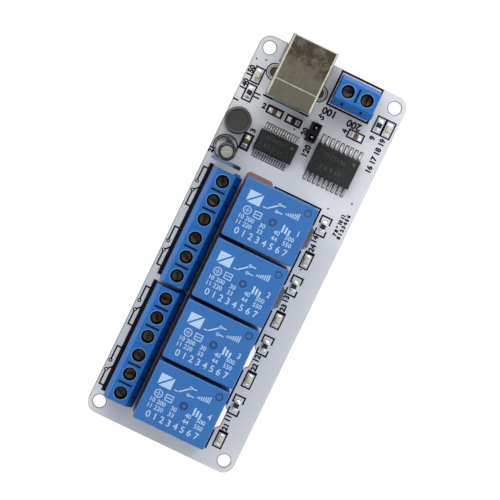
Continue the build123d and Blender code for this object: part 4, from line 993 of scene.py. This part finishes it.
terminalLook = {
    "housingRounding": 0.14,
    "headRounding": 0.12,
    "clampRounding": 0.05,
    "pinRounding": 0.04,
    "polePitch": 5.08,
    "wellSetback": 3.55,
    # radius and height of the raised rim of a well, lighter as a painted highlight, and of the painted shade
    # round the edge of a screw head
    "lipSection": ((1.66, -0.45), (1.9, -0.45), (1.9, -0.02), (1.84, 0.012), (1.72, 0.02), (1.66, -0.05)),
    "headShadeSection": ((1.2, -0.04), (1.7, -0.04), (1.7, 0.05), (1.2, 0.03)),
    # size and height of the painted shade that fills the groove between two poles
    "grooveShadeSize": (0.5, 3.6),
    "grooveShadeHeight": 0.012,
    "seamHalf": 0.06,
    "seamEnds": (1.4, 2.8),
    "seamHeight": 0.006,
    "markSink": 0.3,
    "seamHousings": (1, 3),
    "slotTurns": (8, 96, 30, 75, 12, 48, 60, 20, 85, 35, 10, 70, 100, 55),
}
housings = ["power_terminal_housing"] + [f"relay_terminal_housing_{number}" for number in range(1, 5)]
for node in housings:
    softened(node, "terminalBlue", terminalLook["housingRounding"])


def turnScrews(work):
    # each screw is a loose part: turn it about its own upright axis
    left = set(work.verts)
    screws = []
    while left:
        start = left.pop()
        island, waiting = {start}, [start]
        while waiting:
            for edge in waiting.pop().link_edges:
                for vert in edge.verts:
                    if vert not in island:
                        island.add(vert)
                        waiting.append(vert)
        left -= island
        low = Vector([min(vert.co[axis] for vert in island) for axis in range(3)])
        high = Vector([max(vert.co[axis] for vert in island) for axis in range(3)])
        order = (-round(high.y / mm), round(high.x / mm))
        screws.append({"order": order, "middle": (low + high) / 2, "verts": list(island)})
    screws.sort(key=lambda screw: screw["order"])
    for screw, turn in zip(screws, terminalLook["slotTurns"]):
        spin = Matrix.Rotation(math.radians(turn), 3, "Z")
        bmesh.ops.rotate(work, verts=screw["verts"], cent=screw["middle"], matrix=spin)


softened("terminal_screws", "screwSteel", terminalLook["headRounding"], turnScrews)


def lathe(centre, profile, around=40, wobble=None):
    # a closed profile of radius and height turned about an upright line, each radius times a wobble that
    # depends on the angle
    angle = np.linspace(0, 2 * math.pi, around, endpoint=False)
    rings = np.asarray(profile, float)
    reach = rings[:, :1] * (1.0 if wobble is None else wobble(angle))
    x = centre[0] + reach * np.cos(angle)
    y = centre[1] + reach * np.sin(angle)
    z = centre[2] + np.repeat(rings[:, 1:], around, axis=1)
    points = np.stack([x, y, z], -1).reshape(-1, 3)
    index = np.arange(len(rings) * around).reshape(len(rings), around)
    above = np.roll(index, -1, axis=0)
    faces = np.stack([index, np.roll(index, -1, axis=1), np.roll(above, -1, axis=1), above], -1)
    return points, faces.reshape(-1, 4).tolist()


lips, headShade, grooveShade, seams = Batch(), Batch(), Batch(), Batch()
headLevel = boxOf("terminal_screws")[1][2]
pitch, setback = terminalLook["polePitch"], terminalLook["wellSetback"]
for node in housings:
    low, high = boxOf(node)
    top = high[2]
    alongX = node.startswith("power")
    for pole in range(2 if alongX else 3):
        step = (pole + 0.5) * pitch
        # the well, and the painted shade in the groove before this pole
        spot, back = (low[0] + setback, low[1] + step), (0, pitch / 2)
        half = np.array(terminalLook["grooveShadeSize"][::-1]) / 2
        if alongX:
            spot, back, half = (low[0] + step, high[1] - setback), (pitch / 2, 0), half[::-1]
        lips.add(*lathe((*spot, top), terminalLook["lipSection"]))
        # painted shade: a dark ring round the screw head, where the well casts its shadow
        headShade.add(*lathe((*spot, headLevel), terminalLook["headShadeSection"]))
        if pole > 0:
            centre = np.array(spot) - back
            grooveShade.add(*prism(rectangle(*(centre - half), *(centre + half)), top - terminalLook["markSink"],
                                top + terminalLook["grooveShadeHeight"]))
for number in terminalLook["seamHousings"]:
    low, high = boxOf(f"relay_terminal_housing_{number}")
    start, end = terminalLook["seamEnds"]
    seam = rectangle(low[0] + start, low[1] - terminalLook["seamHalf"], high[0] - end,
                     low[1] + terminalLook["seamHalf"])
    seams.add(*prism(seam, high[2] - terminalLook["markSink"], high[2] + terminalLook["seamHeight"]))
seams.build("housing_seams", "terminalSeam")
# the raised well rims carry a painted highlight
lips.build("well_lip_highlights", "terminalRimHighlight", smooth=True)
# painted shade round the screw heads
headShade.build("screw_head_shade", "blackPlasticAndShade", smooth=True)
# painted shade in the grooves between poles
grooveShade.build("pole_groove_shade", "blackPlasticAndShade")
softened("terminal_clamps", "clampSteel", terminalLook["clampRounding"])
softened("terminal_pins", "leadTin", terminalLook["pinRounding"])
print("terminals dressed")


# Everything that keeps its CAD form: finish and width of its rounded edges

plainPieces = {
    "socket_shell": ("nickelShell", 0.08),
    "socket_insulator": ("socketPlastic", 0.06),
    "socket_contacts": ("gilt", 0.02),
    "data_chip_body": ("chipPlastic", 0.06),
    "driver_chip_body": ("chipPlastic", 0.08),
    "data_chip_leads": ("chipLead", 0.02),
    "driver_chip_leads": ("chipLead", 0.03),
    "choke_core": ("ferrite", 0.1),
    "choke_winding": ("copperWire", 0.05),
    "capacitor_can": ("canAluminium", 0.03),
    "capacitor_bung": ("rubber", 0.05),
    "round_leads": ("leadTin", 0.03),
    "post_base": ("blackPlasticAndShade", 0.08),
    "posts": ("leadTin", 0.03),
    "jumper_clip": ("postTin", 0.02),
    "jumper_cap": ("blackPlasticAndShade", 0.08),
    "chip_resistors": ("resistorTop", 0.03),
    "chip_capacitors": ("capacitorBrown", 0.05),
    "end_caps": ("padTin", 0.05),
    "light_bases": ("lightBase", 0.03),
    "light_lenses": ("lightLens", 0.06),
    "solder_joints": ("solder", 0.05),
    "relay_terminals": ("leadTin", 0.03),
}
for number in range(1, 5):
    plainPieces[f"relay_base_{number}"] = ("blackPlasticAndShade", 0.06)
    plainPieces[f"relay_winding_{number}"] = ("copperWire", 0.1)
    plainPieces[f"relay_yoke_{number}"] = ("platedIron", 0.05)
    plainPieces[f"relay_armature_{number}"] = ("platedIron", 0.05)
    plainPieces[f"relay_spring_{number}"] = ("springBronze", 0.03)
for node, (material, edge) in plainPieces.items():
    softened(node, material, edge)
print("plain pieces dressed:", len(plainPieces))


# Socket shell: painted highlights along its two folds, its front edge and its seam

shellLook = {
    "foldRadius": 0.6,
    "glintArc": (42, 86),
    "glintStand": 0.012,
    "glintDepth": 0.1,
    "frontWidth": 0.3,
    "seamSetback": 11.7,
    "seamWidth": 0.2,
}
low, high = boxOf("socket_shell")
flatLow, flatHigh = low[0] + shellLook["foldRadius"], high[0] - shellLook["foldRadius"]
foldLevel = high[2] - shellLook["foldRadius"]


def foldWear(side):
    # a painted highlight: a quarter ring round the fold's own axis, carried along the shell: angle times
    # length
    angle = np.radians(np.linspace(*shellLook["glintArc"], 9))
    outer = np.full(9, shellLook["foldRadius"] + shellLook["glintStand"])
    inner = np.full(9, shellLook["foldRadius"] - shellLook["glintDepth"])
    radius = np.concatenate([outer, inner])
    sweep = np.concatenate([angle, angle[::-1]])
    section = np.column_stack([(flatLow if side < 0 else flatHigh) + side * radius * np.cos(sweep),
                               foldLevel + radius * np.sin(sweep)])
    points, faces = prism(section, low[1], high[1])
    if side > 0:
        faces = [face[::-1] for face in faces]
    return points[:, [0, 2, 1]], faces


folds, edgeGlints = Batch(), Batch()
for side in (-1, 1):
    folds.add(*foldWear(side))
folds.build("socket_fold_highlight", "foldHighlight")
glintLow, glintHigh = high[2] - shellLook["glintDepth"], high[2] + shellLook["glintStand"]
seam = high[1] - shellLook["seamSetback"]
seamHalf = shellLook["seamWidth"] / 2
# painted highlights on the shell's front edge and on its seam
for start, end in ((high[1] - shellLook["frontWidth"], high[1]), (seam - seamHalf, seam + seamHalf)):
    edgeGlints.add(*prism(rectangle(flatLow, start, flatHigh, end), glintLow, glintHigh))
edgeGlints.build("socket_edge_highlight", "edgeHighlight")


# Chips: lighter floors of the moulded round marks, and faint plain figures

chipLook = {
    "marks": ((-1.45, 28.45, 3.45), (14.025, 31.45, 4.1)),
    "markRadius": 0.38,
    "markLow": 0.09,
    "markHigh": 0.06,
    # figures, place, size and the level of the chip's top
    "prints": (("01234567", -5.6, 28.3, 1.3, 3.45), ("8 9 10 11", -5.6, 26.2, 1.3, 3.45),
               ("0123456", 9.2, 30.6, 1.7, 4.1), ("7 8 9 10", 9.2, 27.6, 1.7, 4.1)),
    "printSink": 0.02,
    "printHeight": 0.008,
    "printWeight": 0.02,
}
marks, chipPrint = Batch(), Batch()
for x, y, level in chipLook["marks"]:
    marks.add(*prism(circlePoints((x, y), chipLook["markRadius"], 20), level - chipLook["markLow"],
                     level - chipLook["markHigh"]))
marks.build("chip_marks", "chipMark")
for text, x, y, size, level in chipLook["prints"]:
    chipPrint.add(*numerals(text, x, y, size, level - chipLook["printSink"], level + chipLook["printHeight"],
                            0.0, chipLook["printWeight"]))
chipPrint.build("chip_print", "chipPrint")


# Choke sleeve: shrunk film, a little lobed, folded in over the core

sleeveLook = {
    "lobes": 5,
    "lobeDepth": 0.022,
    "lobeTurn": 1.1,
    "oval": 0.014,
    "ovalTurn": 0.6,
    "around": 96,
    "profile": ((3.28, 0.3), (3.5, 0.3), (3.5, 5.9), (3.47, 6.6), (3.36, 7.05), (3.15, 7.3), (2.95, 7.38),
                (2.8, 7.33), (2.74, 7.2), (2.74, 7.07), (3.1, 7.06)),
}


def sleeveWobble(angle):
    # five shallow lobes and a slight oval: one less a share of each wave
    lobe = 0.5 + 0.5 * np.cos(sleeveLook["lobes"] * angle + sleeveLook["lobeTurn"])
    oval = 0.5 + 0.5 * np.sin(2 * angle + sleeveLook["ovalTurn"])
    return 1 - sleeveLook["lobeDepth"] * lobe - sleeveLook["oval"] * oval


sleeveLow, sleeveHigh = boxOf("choke_sleeve")
sleeveFoot = (*((sleeveLow[:2] + sleeveHigh[:2]) / 2), boardTop)
film = lathe(sleeveFoot, sleeveLook["profile"], sleeveLook["around"], sleeveWobble)
sleeve = meshPiece("choke_sleeve_film", *film, "sleeveBlack", smooth=True)
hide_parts("choke_sleeve")


# Capacitor sleeve: leaned with the can, its shoulder rounded and folded in over the rim

capacitorLook = {
    "foot": (-16.7, 21.8, 0.5),
    "lean": (1.1, -0.95, 10.8),
    "profile": ((2.29, 0.0), (2.4, 0.0), (2.4, 9.2), (2.37, 9.9), (2.28, 10.35), (2.1, 10.65), (1.85, 10.79),
                (1.6, 10.8), (1.47, 10.74), (1.47, 10.67), (2.0, 10.67), (2.24, 10.3), (2.29, 9.8)),
    "around": 64,
    "ripples": 3,
    "rippleDepth": 0.006,
}


def capacitorWobble(angle):
    # shallow ripples: one less a share of the wave
    return 1 - capacitorLook["rippleDepth"] * (0.5 + 0.5 * np.cos(capacitorLook["ripples"] * angle))


lean = np.array(capacitorLook["lean"])
lean /= np.linalg.norm(lean)
sideways = np.cross([0.0, 1.0, 0.0], lean)
sideways /= np.linalg.norm(sideways)
forward = np.cross(lean, sideways)
foot = np.array(capacitorLook["foot"]) + (0, 0, boardTop)
upright, faces = lathe((0, 0, 0), capacitorLook["profile"], capacitorLook["around"], capacitorWobble)
leaned = foot + upright @ np.stack([sideways, forward, lean])
capacitorSleeve = meshPiece("capacitor_sleeve_film", leaned, faces, "capacitorSleeve", smooth=True)
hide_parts("capacitor_sleeve")
print("sleeves and chips dressed")


# Floor, light and camera

stageLook = {
    "floorDrop": 0.01,
    "floorSize": 3.0,
    "floorRough": 0.7,
    "floorColour": (0.35, 0.35, 0.35),
    "floorGlow": 0.78,
    # middle, reach and soft rim of each painted shadow on the floor, and its tint at its left and right end;
    # the bluish tint under the slot is a painted reflection of the blue blocks
    "shades": (((-14.4, 18.31), (4.55, 0.9), 0.14, (0.095, 0.14, 0.21), (0.008, 0.018, 0.03)),
               ((12.4, 2.0), (2.4, 12.6), 0.08, (0.09, 0.10, 0.12), (0.09, 0.10, 0.12))),
    "tintTurn": (0.3, 0.5),
    "skyFade": (0.55, 0.92),
    "skyLow": 1.45,
    "skyHigh": 0.16,
    # place in metres, power and size of each soft light
    "lights": {"key": ((-0.35, 0.45, 0.55), 2.6, 0.5), "far": ((0.06, 0.52, 0.56), 2.5, 0.4),
               "fill": ((0.45, -0.1, 0.5), 1.2, 0.5)},
    "cameraPlace": (-0.0234, 0.0249, 0.6476),
    "cameraAim": (0.00025, 0.00137, 0.0),
    "cameraTurn": 25.745,
    "cameraLens": 188.65,
    "cameraSensor": 36.0,
    "cameraClip": (0.01, 20.0),
}
white = (1.0, 1.0, 1.0)
floorLevel = cadLow.z - stageLook["floorDrop"] * mm
half = stageLook["floorSize"] / 2
floorMesh = bpy.data.meshes.new("floor")
corners = [(x, y, floorLevel) for x, y in rectangle(-half, -half, half, half)]
floorMesh.from_pydata(corners, [], [(0, 1, 2, 3)])
floor = linked("floor", floorMesh)
floorFinish, floorTree, floorShader, floorPlace = emptyMaterial("pale floor")


def shadeFloor(glow, base, middle, reach, rim, left, right):
    # the floor takes a painted shadow colour inside a place, where the larger of both distances over their
    # reach is under one
    offset = floorTree.nodes.new("ShaderNodeMapping")
    offset.vector_type = "TEXTURE"
    offset.inputs["Location"].default_value = (middle[0] * mm, middle[1] * mm, floorLevel)
    offset.inputs["Scale"].default_value = (reach[0] * mm, reach[1] * mm, 1.0)
    wire(floorTree, floorPlace, offset.inputs["Vector"])
    sides = axesOf(floorTree, offset.outputs["Vector"])
    distance = mathNode(floorTree, "MAXIMUM", mathNode(floorTree, "ABSOLUTE", sides["X"]),
                        mathNode(floorTree, "ABSOLUTE", sides["Y"]))
    fade = rampNode(floorTree, distance, 1.0 - rim, 1.0).outputs["Result"]
    across = rampNode(floorTree, sides["X"], *stageLook["tintTurn"]).outputs["Result"]
    tint = mixColours(floorTree, across, left, right)
    return [mixColours(floorTree, fade, tint, colour) for colour in (glow, base)]


floorColours = [white, stageLook["floorColour"]]
for place in stageLook["shades"]:
    floorColours = shadeFloor(*floorColours, *place)
for target, colour in zip(("Emission Color", "Base Color"), floorColours):
    wire(floorTree, colour, floorShader.inputs[target])
floorShader.inputs["Emission Strength"].default_value = stageLook["floorGlow"]
floorShader.inputs["Roughness"].default_value = stageLook["floorRough"]
floorMesh.materials.append(floorFinish)

world = bpy.data.worlds.new("studio")
bpy.context.scene.world = world
world.use_nodes = True
sky = world.node_tree
sky.nodes.clear()
leave = sky.nodes.new("ShaderNodeOutputWorld")
glow = sky.nodes.new("ShaderNodeBackground")
wire(sky, glow.outputs[0], leave.inputs["Surface"])
direction = sky.nodes.new("ShaderNodeTexCoord").outputs["Generated"]
blend = rampNode(sky, axesOf(sky, direction)["Z"], *stageLook["skyFade"], stageLook["skyLow"],
                 stageLook["skyHigh"])
blend.interpolation_type = "SMOOTHSTEP"
wire(sky, blend.outputs["Result"], glow.inputs["Strength"])
feed(sky, glow.inputs["Color"], white)

for name, (place, power, size) in stageLook["lights"].items():
    lamp = bpy.data.lights.new(name, "AREA")
    lamp.energy = power
    lamp.size = size
    holder = linked(name, lamp)
    holder.location = place
    holder.rotation_mode = "QUATERNION"
    holder.rotation_quaternion = (-Vector(place)).to_track_quat("-Z", "Y")

cameraData = bpy.data.cameras.new("camera")
cameraData.sensor_width = stageLook["cameraSensor"]
cameraData.lens = stageLook["cameraLens"]
cameraData.clip_start, cameraData.clip_end = stageLook["cameraClip"]
camera = linked("camera", cameraData)
cameraPlace = Vector(stageLook["cameraPlace"])
viewLine = (Vector(stageLook["cameraAim"]) - cameraPlace).normalized()
turn = math.radians(stageLook["cameraTurn"])
right = Vector((math.cos(turn), math.sin(turn), 0))
right = (right - viewLine * right.dot(viewLine)).normalized()
back = -viewLine
upward = back.cross(right)
camera.matrix_world = Matrix.Translation(cameraPlace) @ Matrix((right, upward, back)).transposed().to_4x4()
bpy.context.scene.camera = camera
bpy.context.scene.view_settings.view_transform = "Standard"
print("stage set")
